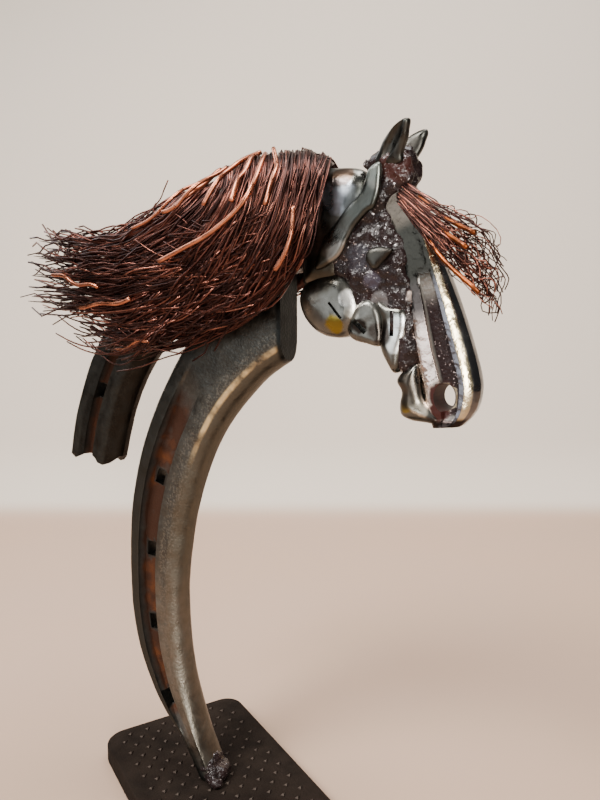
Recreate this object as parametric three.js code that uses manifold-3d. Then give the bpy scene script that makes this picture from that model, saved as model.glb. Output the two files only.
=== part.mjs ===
// Horse head sculpture welded from horseshoe halves, with a mane and forelock of copper wire,
// on a plate cut from a farrier's rasp. Millimetres, +Z up, +X the way the horse faces,
// +Y its left. The origin is the middle of the plate's underside.
import * as THREE from 'three';
import { mergeVertices } from 'three/addons/utils/BufferGeometryUtils.js';
import Module from 'manifold-3d';

const wasm = await Module();
wasm.setup();

// Driving sizes
const clearance = 0.3;

const plateLength = 115;
const plateWidth = 45;
const plateThickness = 5.5;
const plateYaw = THREE.MathUtils.degToRad(-28.8);
const plateBackSetting = 35;      // from the plate's back edge to the neck's foot
const nearCornerRadius = 6.5;
const otherCornerRadius = 5.5;
const toothPitch = 7.3;
const toothRowStep = 6.4;         // every second row; those between are surface finish
const toothWidth = 3.6;
const toothHeight = 0.8;
const toothMargin = 3.6;
const footBeadRadius = 4.6;       // the weld round the neck's foot

const shoeHeight = 140;           // the neck shoe's chord, heel to toe
const shoeThickness = 8;
const nailHoleLength = 4.2;
const nailHoleWidth = 2.8;
const throatGap = 5.1;            // from the neck shoe's toe to the back of the head, filled with weld
const throatBead = 4.2;

const headLength = 65;
const headThickness = 8.6;        // the weld between the head's bars
const faceBarThickness = 6;
const jawThickness = 10;
const mandibleThickness = 9;
const chinThickness = 8;
const collarThickness = 9.4;
const bandThickness = 1.9;
const eyeThickness = 2.2;
const earThickness = 2.4;

const lockThickness = 8;          // a lock of mane wire at its fullest
const farSqueeze = 6;             // how much narrower the mane spreads on the far side
const copperWire = 1.5;           // the mane's thick single wires
const forelockRod = 2.1;

// Places worked out from those sizes
const headShare = headLength / 100;
const depthShare = shoeThickness / 8;
const toeX = 0.174 * shoeHeight;
const headBack = [toeX + throatGap, 1.0314 * shoeHeight];
const poll = [headBack[0] + 31.6 * headShare, headBack[1] + 24 * headShare];
const footX = (plateBackSetting - plateLength / 2) * Math.cos(plateYaw);
const footY = (plateBackSetting - plateLength / 2) * Math.sin(plateYaw);

// Colours and finishes
const finishes = {
  rasp: { color: 0x3d352e, roughness: 0.62, metalness: 0.7 },
  shoe: { color: 0x5d5c57, roughness: 0.4, metalness: 0.9 },
  polished: { color: 0xa7a299, roughness: 0.25, metalness: 1 },
  weld: { color: 0x2b2225, roughness: 0.45, metalness: 0.8 },
  wire: { color: 0x4a2a23, roughness: 0.5, metalness: 0.8 },
  copper: { color: 0xb2643f, roughness: 0.35, metalness: 0.95 },
};

const sculpture = new THREE.Group();
sculpture.position.set(footX, footY, plateThickness);
const group = new THREE.Group();
group.add(sculpture);

// Solids and booleans
function solid(geometry) {
  const bare = geometry.index ? geometry.toNonIndexed() : geometry.clone();
  bare.deleteAttribute('normal');
  bare.deleteAttribute('uv');
  const merged = mergeVertices(bare, 1e-4);
  return new wasm.Manifold(new wasm.Mesh({
    numProp: 3,
    vertProperties: new Float32Array(merged.attributes.position.array),
    triVerts: new Uint32Array(merged.index.array),
  }));
}

function geometryOf(body) {
  const mesh = body.getMesh();
  const geometry = new THREE.BufferGeometry();
  geometry.setAttribute('position', new THREE.BufferAttribute(mesh.vertProperties, 3));
  geometry.setIndex(new THREE.BufferAttribute(mesh.triVerts, 1));
  geometry.computeVertexNormals();
  return geometry;
}

function addPiece(name, body, finish, parent = sculpture) {
  const mesh = new THREE.Mesh(geometryOf(body), new THREE.MeshStandardMaterial(finishes[finish]));
  mesh.name = name;
  parent.add(mesh);
}

function join(bodies) {
  return bodies.reduce((sum, body) => sum.add(body));
}

function cut(body, tools) {
  return tools.reduce((rest, tool) => rest.subtract(tool), body);
}

// The largest closed shell of a body: it leaves out crumbs cut loose and pockets sealed inside
function outerShell(body) {
  const { vertProperties, triVerts } = body.getMesh();
  const parent = Array.from({ length: vertProperties.length / 3 }, (_, index) => index);
  const find = (index) => {
    let top = index;
    while (parent[top] !== top) top = parent[top];
    parent[index] = top;
    return top;
  };
  for (let i = 0; i < triVerts.length; i += 3) {
    parent[find(triVerts[i])] = find(triVerts[i + 1]);
    parent[find(triVerts[i + 1])] = find(triVerts[i + 2]);
  }
  const volumes = new Map();
  const corner = (index) => new THREE.Vector3().fromArray(vertProperties, 3 * index);
  for (let i = 0; i < triVerts.length; i += 3) {
    const [a, b, c] = [0, 1, 2].map((k) => corner(triVerts[i + k]));
    const shell = find(triVerts[i]);
    volumes.set(shell, (volumes.get(shell) ?? 0) + a.dot(b.cross(c)) / 6);
  }
  const largest = [...volumes].reduce((best, next) => (next[1] > best[1] ? next : best))[0];
  const kept = [];
  for (let i = 0; i < triVerts.length; i += 3) {
    if (find(triVerts[i]) === largest) kept.push(...triVerts.slice(i, i + 3));
  }
  const geometry = new THREE.BufferGeometry();
  geometry.setAttribute('position', new THREE.BufferAttribute(vertProperties, 3));
  geometry.setIndex(kept);
  return solid(geometry);
}

// A point of the head, from hundredths of its length, x forward and z up from the poll
function headPoint([x, z]) {
  return new THREE.Vector2(poll[0] + x * headShare, poll[1] + z * headShare);
}

// A point of the neck and mane, from hundredths of the shoe's chord, from the foot
function neckPoint([x, z]) {
  return new THREE.Vector2(x * shoeHeight / 100, z * shoeHeight / 100);
}

// A flat piece standing in the horse's own plane: its outline in x and z, its middle at y,
// with rounded edges, and grown all over by `grow` where it serves to cut a neighbour
function slab(points, thickness, y, rounding, grow = 0, steps = 2) {
  const shape = new THREE.Shape(points);
  const edge = grow ? 0.4 * rounding : rounding;
  const geometry = new THREE.ExtrudeGeometry(shape, {
    depth: thickness - 2 * edge + 2 * grow,
    bevelEnabled: true,
    bevelThickness: edge,
    bevelSize: edge,
    bevelOffset: grow - edge,
    bevelSegments: grow ? 1 : steps,
  });
  geometry.translate(0, 0, -(thickness / 2 - edge + grow));
  geometry.rotateX(Math.PI / 2);
  geometry.translate(0, y, 0);
  return solid(geometry);
}

// A closed smooth outline through a few points
function smooth(points, divisions) {
  const curve = new THREE.CatmullRomCurve3(points.map((p) => new THREE.Vector3(p.x, p.y, 0)), true);
  return curve.getSpacedPoints(divisions).slice(0, -1).map((p) => new THREE.Vector2(p.x, p.y));
}

function spline(points) {
  return new THREE.SplineCurve(points);
}

// A horseshoe's branch, swept from its outer to its inner edge. The section is a row of
// columns across the web: the share of the web, and how far the near and far faces lie
// below the branch's full thickness there. `fade` closes the crease towards the ends.
function branch({ outer, inner, section, thickness, steps, fade, ends }, grow = 0) {
  const columns = section.length - 1;
  const box = new THREE.BoxGeometry(1, 1, 1, steps, columns, 1);
  const spots = box.attributes.position;
  const outerCurve = spline(outer);
  const innerCurve = spline(inner);
  const outside = new THREE.Vector2();
  const inside = new THREE.Vector2();
  for (let i = 0; i < spots.count; i += 1) {
    const along = Math.round((spots.getX(i) + 0.5) * steps) / steps;
    const column = Math.round((spots.getY(i) + 0.5) * columns);
    const near = spots.getZ(i) < 0;
    const { share, nearDepth, farDepth, crease } = section[column];
    outerCurve.getPointAt(along, outside);
    innerCurve.getPointAt(along, inside);
    const web = outside.distanceTo(inside);
    const spread = share + (2 * share - 1) * grow / web;
    const place = outside.clone().lerp(inside, spread);
    const depth = near ? nearDepth + (grow ? 0 : crease * fade(along)) : farDepth;
    if (ends && along === 0) {
      const heading = outerCurve.getTangentAt(0);
      place.addScaledVector(heading, -ends[column]);
    }
    if (grow && (along === 0 || along === 1)) {
      const heading = outerCurve.getTangentAt(along);
      place.addScaledVector(heading, along ? grow : -grow);
    }
    const side = (near ? -1 : 1) * (thickness / 2 - depth + grow);
    spots.setXYZ(i, place.x, side, place.y);
  }
  return solid(box);
}

// The section of a shoe with a crease, from named widths in shares of the web
function shoeSection(land, creaseWidth, creaseDepth, rim) {
  const wall = 0.035;
  return [
    { share: 0, nearDepth: 0.9 * depthShare, farDepth: 0.9 * depthShare, crease: 0 },
    { share: 0.045, nearDepth: 0, farDepth: 0, crease: 0 },
    { share: land, nearDepth: 0, farDepth: 0, crease: 0 },
    { share: land + wall, nearDepth: 0, farDepth: 0, crease: creaseDepth },
    { share: land + creaseWidth - wall, nearDepth: 0, farDepth: 0, crease: creaseDepth },
    { share: land + creaseWidth, nearDepth: 0, farDepth: 0, crease: 0 },
    { share: 1 - rim, nearDepth: 0, farDepth: 0, crease: 0 },
    { share: 1 - rim * 0.38, nearDepth: 1.3 * depthShare, farDepth: 0.7 * depthShare, crease: 0 },
    { share: 1, nearDepth: 3.9 * depthShare, farDepth: 2.4 * depthShare, crease: 0 },
  ];
}

// Nail holes through a shoe's crease, at shares of its length
function nailHoles({ outer, inner, thickness }, places, acrossWeb) {
  const outerCurve = spline(outer);
  const innerCurve = spline(inner);
  return places.map((along) => {
    const outside = outerCurve.getPointAt(along);
    const place = outside.clone().lerp(innerCurve.getPointAt(along), acrossWeb);
    const heading = outerCurve.getTangentAt(along);
    const box = new THREE.BoxGeometry(nailHoleLength, 3 * thickness, nailHoleWidth);
    box.rotateY(-Math.atan2(heading.y, heading.x));
    box.translate(place.x, 0, place.y);
    return solid(box);
  });
}

// The rasp plate with rows of raised teeth, in its own frame, length along x
function raspPlate() {
  const halfLength = plateLength / 2;
  const halfWidth = plateWidth / 2;
  const outline = new THREE.Shape();
  const corners = [
    [halfLength, halfWidth, otherCornerRadius],
    [-halfLength, halfWidth, otherCornerRadius],
    [-halfLength, -halfWidth, nearCornerRadius],
    [halfLength, -halfWidth, otherCornerRadius],
  ];
  corners.forEach(([x, y, radius], index) => {
    const start = index * Math.PI / 2;
    const centreX = x - Math.sign(x) * radius;
    const centreY = y - Math.sign(y) * radius;
    outline.absarc(centreX, centreY, radius, start, start + Math.PI / 2, false);
  });
  const chamfer = 0.6;
  const blank = new THREE.ExtrudeGeometry(outline, {
    depth: plateThickness - 2 * chamfer,
    bevelThickness: chamfer,
    bevelSize: chamfer,
    bevelOffset: -chamfer,
    bevelSegments: 1,
    curveSegments: 5,
  });
  blank.translate(0, 0, chamfer);
  const teeth = [];
  const rows = Math.floor((plateLength - 2 * toothMargin) / toothRowStep);
  const perRow = Math.floor((plateWidth - 2 * toothMargin) / toothPitch);
  const bead = new THREE.Vector2(plateBackSetting - halfLength, 0);
  for (let row = 0; row <= rows; row += 1) {
    const x = -halfLength + toothMargin + row * toothRowStep;
    const shift = (row % 2) * toothPitch / 2;
    for (let place = 0; place < perRow; place += 1) {
      const y = (place - perRow / 2) * toothPitch + shift + toothPitch / 4;
      const inCorner = Math.abs(x) > halfLength - nearCornerRadius
        && Math.abs(y) > halfWidth - nearCornerRadius;
      if (inCorner || bead.distanceTo(new THREE.Vector2(x, y)) < footBeadRadius + 2) continue;
      const tooth = new THREE.ConeGeometry(toothWidth / 2, 2 * toothHeight, 3);
      tooth.rotateX(Math.PI / 2);
      tooth.rotateZ(Math.PI / 6);
      tooth.scale(0.75, 1, 1);
      tooth.translate(x, y, plateThickness);
      teeth.push(solid(tooth));
    }
  }
  return solid(blank).add(join(teeth));
}

// The neck: half a horseshoe standing on its heel, its toe end cut upright
const neckShoeForm = {
  outer: [[-1.8, 0.3], [-6, 7.2], [-13.4, 16.2], [-18.2, 28.5], [-19.1, 43], [-17.4, 58.5], [-11.6, 74],
    [-2, 88.6], [6.6, 95.6], [17.4, 100.2]].map(neckPoint),
  inner: [[1.6, 0.3], [-1.9, 8.5], [-5.4, 20], [-6.8, 33], [-6.1, 44], [-3.2, 57], [2.6, 70],
    [11, 79.8], [17.4, 84.4]].map(neckPoint),
  section: shoeSection(0.2, 0.36, 0.3 * shoeThickness, 0.2),
  thickness: shoeThickness,
  steps: 17,
  fade: (along) => THREE.MathUtils.smoothstep(along, 0.03, 0.1)
    * (1 - THREE.MathUtils.smoothstep(along, 0.68, 0.8)),
};

// The crest: a second half behind it, its heel hanging free, its toe end at the collar
const crestShoeForm = {
  outer: [[-35.4, 62.4], [-32.8, 72.6], [-27.2, 84.8], [-18, 96.6], [-8, 105], [2.4, 110.8],
    [12.8, 114.8], [21.9, 116.8]].map(neckPoint),
  inner: [[-22.8, 62.6], [-19.8, 72.4], [-15.6, 80.6], [-10.2, 86.8], [-3, 91.2], [4, 94.6],
    [12, 98.4], [20.2, 102]].map(neckPoint),
  section: shoeSection(0.32, 0.2, 0.25 * shoeThickness, 0.34),
  thickness: shoeThickness,
  steps: 13,
  fade: (along) => 1 - THREE.MathUtils.smoothstep(along, 0.85, 0.97),
  ends: [-0.6, 0, 0, -1.6, -2.3, -1.3, 0.3, 0.1, -1.1].map((share) => share * shoeHeight / 100),
};

// The face: a light shoe's branch from forehead to muzzle, outer edge foremost
const faceBarForm = {
  outer: [[9, -5], [13.4, -14], [18.2, -26], [24.8, -42], [29.4, -55], [32.6, -66], [33.2, -72],
    [31.6, -78.4], [27.4, -83.4]].map(headPoint),
  inner: [[-1.6, -10.4], [2.2, -18], [6, -26], [8.6, -40], [10.2, -52], [11.6, -60], [14.2, -69],
    [16, -77], [18.6, -84.4]].map(headPoint),
  section: [
    { share: 0, nearDepth: 1.7, farDepth: 1, crease: 0 },
    { share: 0.15, nearDepth: 0, farDepth: 0, crease: 0 },
    { share: 0.32, nearDepth: 0, farDepth: 0, crease: 0 },
    { share: 0.36, nearDepth: 0, farDepth: 0, crease: 1.4 },
    { share: 0.63, nearDepth: 0, farDepth: 0, crease: 1.4 },
    { share: 0.68, nearDepth: 0, farDepth: 0, crease: 0 },
    { share: 0.92, nearDepth: 0, farDepth: 0, crease: 0 },
    { share: 1, nearDepth: 0.9, farDepth: 0.9, crease: 0 },
  ],
  thickness: faceBarThickness,
  steps: 13,
  fade: (along) => THREE.MathUtils.smoothstep(along, 0.3, 0.5)
    * (1 - THREE.MathUtils.smoothstep(along, 0.93, 0.99)),
};

// Outlines of the head's flat pieces, in hundredths of its length from the poll
const jawOutline = [[-19, -32], [-26, -33], [-31.6, -38], [-32.6, -44], [-29, -50.4], [-22, -54.4],
  [-14, -54.6], [-9.4, -50], [-8, -44], [-12, -36]];
const bridgeOutline = [[-12, -53.6], [-9.4, -44], [-3.4, -42], [0.4, -48], [0.4, -57], [-5.4, -57]];
const mandibleOutline = [[-2.4, -42.4], [-0.6, -49], [-1, -56.6], [1.6, -63], [4.4, -66.8], [7, -65],
  [8.2, -59.4], [9.4, -54], [9.8, -49], [8.6, -44.6], [3, -43.4]];
const chinOutline = [[4.2, -67.6], [7.4, -65.6], [12.6, -62.6], [14.2, -68], [16, -75], [18, -80.4],
  [15, -82.4], [9.6, -82.4], [6.2, -80.6], [5.4, -76], [6.4, -71]];
const bandOutline = [[0, 2], [-4, 0.6], [-5.6, -3.6], [-7.6, -7.4], [-11.4, -11], [-15.6, -17],
  [-19.4, -23], [-21, -30.6], [-14.4, -27], [-11, -22], [-9, -17.6], [-5, -13.6], [-2, -11.6], [0, -6]];
const collarOutline = [[-26.6, 3.4], [-9, 1.4], [-5, -7], [-9, -17], [-14, -27], [-18, -36],
  [-30.6, -37], [-31.6, -28.4], [-30.8, -20], [-29, -12], [-27, -3]];
const weldOutline = [[-5.6, 3.4], [-2, 6.6], [4, 7], [9, 3.4], [9.4, -4], [1.4, -9.8], [4, -17.4],
  [7.8, -25.6],
  [10.2, -39], [11.6, -51], [12.8, -60], [7, -66], [0, -46], [-8, -49], [-14, -36], [-21, -33], [-20, -24],
  [-10, -12]];
const eyeOutline = [[-5, -28.6], [-3.4, -26.6], [0, -26], [5.2, -26.6], [2.8, -29.2], [0, -31.4],
  [-3, -32], [-4.8, -30.8]];
const earOutline = [[-1.6, 3], [0.4, 7.8], [3.8, 12], [7.2, 14.2], [10.4, 15], [9.4, 11.6], [7.8, 8.4],
  [6.2, 5], [5.2, 2.4]];

function jaw(grow = 0) {
  return slab(smooth(jawOutline.map(headPoint), 15), jawThickness, 0, 4.3 * headShare, grow);
}

function bridge(grow = 0) {
  return slab(smooth(bridgeOutline.map(headPoint), 12), mandibleThickness, 0, 1.85 * headShare, grow);
}

function mandible(grow = 0) {
  return slab(smooth(mandibleOutline.map(headPoint), 20), mandibleThickness, 0, 2 * headShare, grow);
}

function chin(grow = 0) {
  return slab(smooth(chinOutline.map(headPoint), 18), chinThickness, 0, 2 * headShare, grow);
}

function collar(grow = 0) {
  return slab(smooth(collarOutline.map(headPoint), 16), collarThickness, 0, 3.1 * headShare, grow);
}

function cheekBand(side, grow = 0) {
  const y = side * (collarThickness / 2 + clearance + bandThickness / 2 - 0.13 * collarThickness);
  return slab(bandOutline.map(headPoint), bandThickness, y, 0.2 * bandThickness, grow, 1);
}

function eye(side, grow = 0) {
  const y = side * (headThickness / 2 + 0.1 * eyeThickness);
  return slab(smooth(eyeOutline.map(headPoint), 12), eyeThickness, y, 0.32 * eyeThickness, grow, 1);
}

// An ear is a bent leaf, hollowed on its outer side and leaning outwards
function ear(side, grow = 0) {
  const leaf = slab(smooth(earOutline.map(headPoint), 14), earThickness, 0, 1.1 * headShare, grow, 1);
  const root = headPoint([1, 4]);
  const hollow = new THREE.SphereGeometry(1, 10, 8);
  hollow.scale(2.3 * headShare, 0.54 * earThickness, 8 * headShare);
  hollow.rotateY(0.62);
  const middle = headPoint([5, 9.6]);
  hollow.translate(middle.x, side * 0.62 * earThickness, middle.y);
  const body = grow ? leaf : leaf.subtract(solid(hollow));
  const geometry = geometryOf(body);
  geometry.translate(-root.x, 0, -root.y);
  geometry.rotateX(-side * 0.2);
  geometry.rotateZ(side * 0.16);
  geometry.translate(root.x, side * (headThickness / 2 - 0.42 * earThickness), root.y);
  return solid(geometry);
}

// Rounded lumps of weld, each a squashed ball
function lump(x, y, z, radiusX, radiusY, radiusZ) {
  const ball = new THREE.SphereGeometry(1, 10, 6);
  ball.scale(radiusX, radiusY, radiusZ);
  ball.translate(x, y, z);
  return solid(ball);
}

// The weld that fills the head between its bars, heaped at the poll and round the eyes
function headWeld(grow = 0) {
  const core = slab(smooth(weldOutline.map(headPoint), 27), headThickness, 0, 1.85 * headShare, grow);
  const heaps = [[3.4, 2.4, 7.1, 8, 6.2], [5.6, -3.4, 4.6, 7.1, 5.2]];
  const lumps = heaps.map(([x, z, ...radii]) => {
    const place = headPoint([x, z]);
    return lump(place.x, 0, place.y, ...radii.map((radius) => radius * headShare + grow));
  });
  return join([core, ...lumps]);
}

function footWeld() {
  const bead = new THREE.SphereGeometry(1, 12, 8);
  bead.scale(footBeadRadius, footBeadRadius * 1.35, footBeadRadius * 1.52);
  const upper = solid(bead);
  const below = new THREE.BoxGeometry(40, 40, 20);
  below.translate(0, 0, clearance - 10);
  return upper.subtract(solid(below));
}

function throatWeld() {
  const [backX, backZ] = headBack;
  return join([
    lump(backX - 0.42 * throatGap, 0, backZ - 0.52 * throatBead,
      0.7 * throatGap, throatBead, 0.76 * throatBead),
    lump(backX - 0.17 * throatGap, 0, backZ + 0.62 * throatBead,
      0.6 * throatGap, 1.1 * throatBead, throatBead),
  ]);
}

// A bundle of wire, or one wire, along a curve: a cylinder bent on to it. `radius` gives its
// half width at a share of its length, and `flat` how much thinner it is than wide.
function strand(points, radius, flat, sides, steps) {
  const path = new THREE.CatmullRomCurve3(points, false, 'centripetal');
  const frames = path.computeFrenetFrames(steps, false);
  const tube = new THREE.CylinderGeometry(1, 1, 1, sides, steps);
  const spots = tube.attributes.position;
  const sideways = new THREE.Vector3();
  const across = new THREE.Vector3();
  const y = new THREE.Vector3(0, 1, 0);
  for (let i = 0; i < spots.count; i += 1) {
    const along = Math.round((spots.getY(i) + 0.5) * steps);
    const tangent = frames.tangents[along];
    sideways.crossVectors(tangent, y).normalize();
    across.crossVectors(sideways, tangent).normalize();
    const size = radius(along / steps);
    const place = path.getPointAt(along / steps);
    place.addScaledVector(sideways, spots.getX(i) * size);
    place.addScaledVector(across, spots.getZ(i) * size * flat);
    spots.setXYZ(i, place.x, place.y, place.z);
  }
  return solid(tube);
}

// Lanes of the mane on the near side, from the poll back, each from its root on the crest
// to its tips: x and z in hundredths of the shoe's chord, y in millimetres
const lanes = [
  [[24, 116.6, 0], [24.6, 110.2, -7], [21.6, 99.6, -10],
    [12.6, 92.2, -10], [0, 88, -10], [-16.4, 84.6, -9]],
  [[17.4, 118.2, 0], [17.8, 112.5, -7], [14, 103.6, -10],
    [1.8, 98, -11], [-16.4, 95, -11], [-41.4, 95.8, -9]],
  [[7, 116.6, 0], [6.8, 111.6, -6], [0.6, 105, -9],
    [-10.4, 101, -11], [-22.4, 100.4, -11], [-40.4, 101.8, -9]],
  [[-4.2, 112.2, 0], [-6, 108.2, -5], [-11.4, 105, -7],
    [-18.2, 103.6, -8], [-26.6, 105.6, -8], [-37, 108.4, -8]],
];

// A lane between two of those, at a share of the way back
function lane(share) {
  const spot = Math.min(share, 0.9999) * (lanes.length - 1);
  const index = Math.floor(spot);
  return lanes[index].map((point, i) => {
    const next = lanes[index + 1][i];
    const [x, z, y] = point.map((value, k) => value + (next[k] - value) * (spot - index));
    return new THREE.Vector3(x * shoeHeight / 100, y, z * shoeHeight / 100);
  });
}

// Wavering that differs from lock to lock but is the same each time
function waver(seed, phase) {
  return Math.sin(seed * 12.9898 + phase * 4.1414);
}

function lockPoints(share, seed, depth, mirrored) {
  return lane(share).map((point, i) => {
    const spread = i / 5;
    point.x += waver(seed, 1) * 3.4 * spread;
    point.z += waver(seed, 2) * 3.6 * spread;
    point.y += depth * Math.min(1, i);
    if (mirrored) {
      point.y = -point.y;
      point.z += farSqueeze * (1 - 2 * share) * Math.min(1, spread * 1.6);
    }
    return point;
  });
}

function maneLocks() {
  const nearLocks = 10;
  const farLocks = 5;
  const taper = (along) => {
    const full = lockThickness / 2;
    const rise = 0.8 + 0.2 * THREE.MathUtils.smoothstep(along, 0, 0.3);
    return full * (along < 0.55 ? rise : rise * (1 - 0.84 * (along - 0.55) / 0.45));
  };
  const bodies = [];
  for (let i = 0; i < nearLocks; i += 1) {
    const share = i / (nearLocks - 1);
    const depth = i % 2 ? 1.6 : -1.4;
    bodies.push(strand(lockPoints(share, i, depth, false), taper, 0.6, 5, 6));
  }
  for (let i = 0; i < farLocks; i += 1) {
    const share = i / (farLocks - 1);
    bodies.push(strand(lockPoints(share, i + 40, 1.6, true), taper, 0.6, 5, 6));
  }
  return bodies;
}

// Thick bright wires lying over the locks
function copperWires() {
  const count = 5;
  const bodies = [];
  for (let i = 0; i < count; i += 1) {
    const share = 0.16 + 0.8 * i / (count - 1);
    const points = lockPoints(share, i + 70, -4, false);
    const shown = points.slice(0, 3 + (i % 3));
    bodies.push(strand(shown, () => copperWire / 2, 1, 4, 6));
  }
  return bodies;
}

// The mane is wired and soldered into one mass along the crest
function mane() {
  const ridge = [0, 0.33, 0.66, 1].map((share) => {
    const root = lane(share)[0];
    root.z -= 1.6;
    return root;
  });
  const roots = strand(ridge, () => 3.4, 1.3, 7, 6);
  return join([roots, ...maneLocks(), ...copperWires()]);
}

// The forelock: thin wire in a tapering bundle, with thick rods ending in it
const forelockPaths = [
  [[4.2, 0, -2], [15.9, -11.4, -4], [26.3, -19, -5],
    [34, -25, -5], [38, -32, -4], [38.6, -42, -3]],
  [[4.2, -3.4, -3], [15.2, -15.6, -5], [25.1, -26.1, -6],
    [32.9, -34.9, -6], [36.5, -43, -5], [38, -50.6, -4]],
  [[3.6, -6.5, -3], [10.8, -17.6, -5], [17, -28, -6],
    [23, -36, -6], [28.4, -41.6, -6], [33, -46, -6]],
];
const rodPaths = [
  [[7, -3.6, -3], [18.5, -14.3, -5], [33.7, -23.6, -6]],
  [[7, -5.4, -4], [18.4, -15.8, -6.4], [31.5, -27, -7]],
  [[7.6, -7.3, -5], [19.7, -21.6, -7], [35.5, -40.4, -8]],
];

function forelockPoint([x, z, y]) {
  const place = headPoint([x, z]);
  return new THREE.Vector3(place.x, y, place.y);
}

function forelock() {
  const bundles = [0, 0.67, 1.33, 2].map((spot) => {
    const index = Math.min(1, Math.floor(spot));
    const points = forelockPaths[index].map((point, i) => {
      const next = forelockPaths[index + 1][i];
      return forelockPoint(point.map((value, k) => value + (next[k] - value) * (spot - index)));
    });
    const taper = (along) => 1.9 - 1.3 * along * along;
    return strand(points, taper, 0.7, 5, 6);
  });
  const rods = rodPaths.map((path) => strand(path.map(forelockPoint), () => forelockRod / 2, 1, 6, 4));
  return join([...bundles, ...rods]);
}

// Neighbours grown by the clearance, for cutting what meets them
const grownBars = [
  branch(faceBarForm, clearance), jaw(clearance), bridge(clearance), mandible(clearance), chin(clearance),
];
const grownSides = [-1, 1].flatMap((side) => [
  cheekBand(side, clearance), eye(side, clearance), ear(side, clearance),
]);
const grownShoes = [branch(neckShoeForm, clearance), branch(crestShoeForm, clearance)];

function buildBase() {
  const base = new THREE.Group();
  base.rotation.z = plateYaw;
  group.add(base);
  addPiece('rasp_plate', raspPlate(), 'rasp', base);
  addPiece('foot_weld', cut(footWeld(), [grownShoes[0]]), 'weld');
}

function buildNeck() {
  const neckHoles = nailHoles(neckShoeForm, [0.16, 0.3, 0.44, 0.58], 0.38);
  const crestHoles = nailHoles(crestShoeForm, [0.2, 0.42], 0.42);
  const neck = cut(branch(neckShoeForm), neckHoles);
  const crest = cut(branch(crestShoeForm), [...crestHoles, grownShoes[0], collar(clearance)]);
  addPiece('neck_shoe', neck, 'shoe');
  addPiece('crest_shoe', crest, 'shoe');
  addPiece('throat_weld', cut(throatWeld(), [...grownShoes, collar(clearance)]), 'weld');
}

function buildHead() {
  const nostrilPlace = headPoint([22.2, -74]);
  const nostrilHole = new THREE.CylinderGeometry(4.8 * headShare, 3.4 * headShare, faceBarThickness + 1, 10);
  nostrilHole.scale(0.86, 1, 1.05);
  nostrilHole.rotateX(Math.PI);
  nostrilHole.translate(nostrilPlace.x, 0, nostrilPlace.y);
  addPiece('face_bar', cut(branch(faceBarForm), [solid(nostrilHole)]), 'polished');

  const slitPlace = headPoint([-16.6, -45.6]);
  const slits = [-1, 1].map((side) => {
    const slit = new THREE.BoxGeometry(8 * headShare, 0.26 * jawThickness, 1.4 * headShare);
    slit.rotateY(0.86);
    slit.translate(slitPlace.x, side * jawThickness / 2, slitPlace.y);
    return solid(slit);
  });
  addPiece('cheek_shoe', cut(join([jaw(), collar()]), [...slits, grownSides[0], grownSides[3]]), 'polished');

  const pocketPlace = headPoint([-5, -50.6]);
  const pockets = [-1, 1].map((side) => lump(
    pocketPlace.x, side * mandibleThickness / 2, pocketPlace.y,
    2.6 * headShare, 3.7 * headShare, 3.4 * headShare,
  ));
  addPiece('jaw_bridge', cut(bridge(), [grownBars[1], grownBars[3], ...pockets]), 'polished');

  const slotPlace = headPoint([4.4, -50]);
  const slot = new THREE.BoxGeometry(1.4 * headShare, 2 * mandibleThickness, 8.3 * headShare);
  slot.translate(slotPlace.x, 0, slotPlace.y);
  addPiece('mandible', cut(mandible(), [solid(slot), grownBars[0]]), 'polished');
  addPiece('chin', cut(chin(), [grownBars[0], grownBars[3]]), 'polished');
  for (const side of [-1, 1]) {
    const word = side < 0 ? 'right' : 'left';
    addPiece(`cheek_band_${word}`, cut(cheekBand(side), [grownBars[0]]), 'polished');
    addPiece(`eye_${word}`, cut(eye(side), [grownBars[0]]), 'polished');
    addPiece(`ear_${word}`, cut(ear(side), [cheekBand(side, clearance)]), 'shoe');
  }
  addPiece('head_weld', cut(headWeld(), [...grownBars, collar(clearance), ...grownSides]), 'weld');
}

function buildHair() {
  const headGrown = [...grownBars, ...grownSides, collar(clearance)];
  addPiece('mane', outerShell(cut(mane(), [...grownShoes, ...headGrown, headWeld(clearance)])), 'wire');
  addPiece('forelock', outerShell(cut(forelock(), [...headGrown, headWeld(clearance)])), 'copper');
}

buildBase();
buildNeck();
buildHead();
buildHair();

export default group;
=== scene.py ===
import math
import random

import bmesh
import bpy
import numpy as np
from mathutils import Matrix, Vector, noise


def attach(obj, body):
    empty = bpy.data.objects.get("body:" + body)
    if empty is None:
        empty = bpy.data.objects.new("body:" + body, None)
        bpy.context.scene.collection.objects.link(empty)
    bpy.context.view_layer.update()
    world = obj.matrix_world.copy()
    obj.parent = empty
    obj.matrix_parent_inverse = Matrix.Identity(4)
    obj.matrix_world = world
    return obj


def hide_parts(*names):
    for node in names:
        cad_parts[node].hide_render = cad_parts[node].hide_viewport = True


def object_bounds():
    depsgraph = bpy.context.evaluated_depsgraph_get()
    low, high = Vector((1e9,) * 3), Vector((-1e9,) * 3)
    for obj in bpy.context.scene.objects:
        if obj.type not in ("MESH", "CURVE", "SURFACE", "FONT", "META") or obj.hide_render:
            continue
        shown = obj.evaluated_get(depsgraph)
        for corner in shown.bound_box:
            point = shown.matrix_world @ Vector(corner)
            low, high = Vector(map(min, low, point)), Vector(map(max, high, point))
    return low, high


bl_info = {
    "name": "Horse head sculpture",
    "version": (1, 0, 0),
    "blender": (4, 5, 0),
    "location": "3D View > Sidebar > Horse head",
    "description": "Welded horse head with a mane of copper wire",
    "category": "Add Mesh",
}

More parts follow.
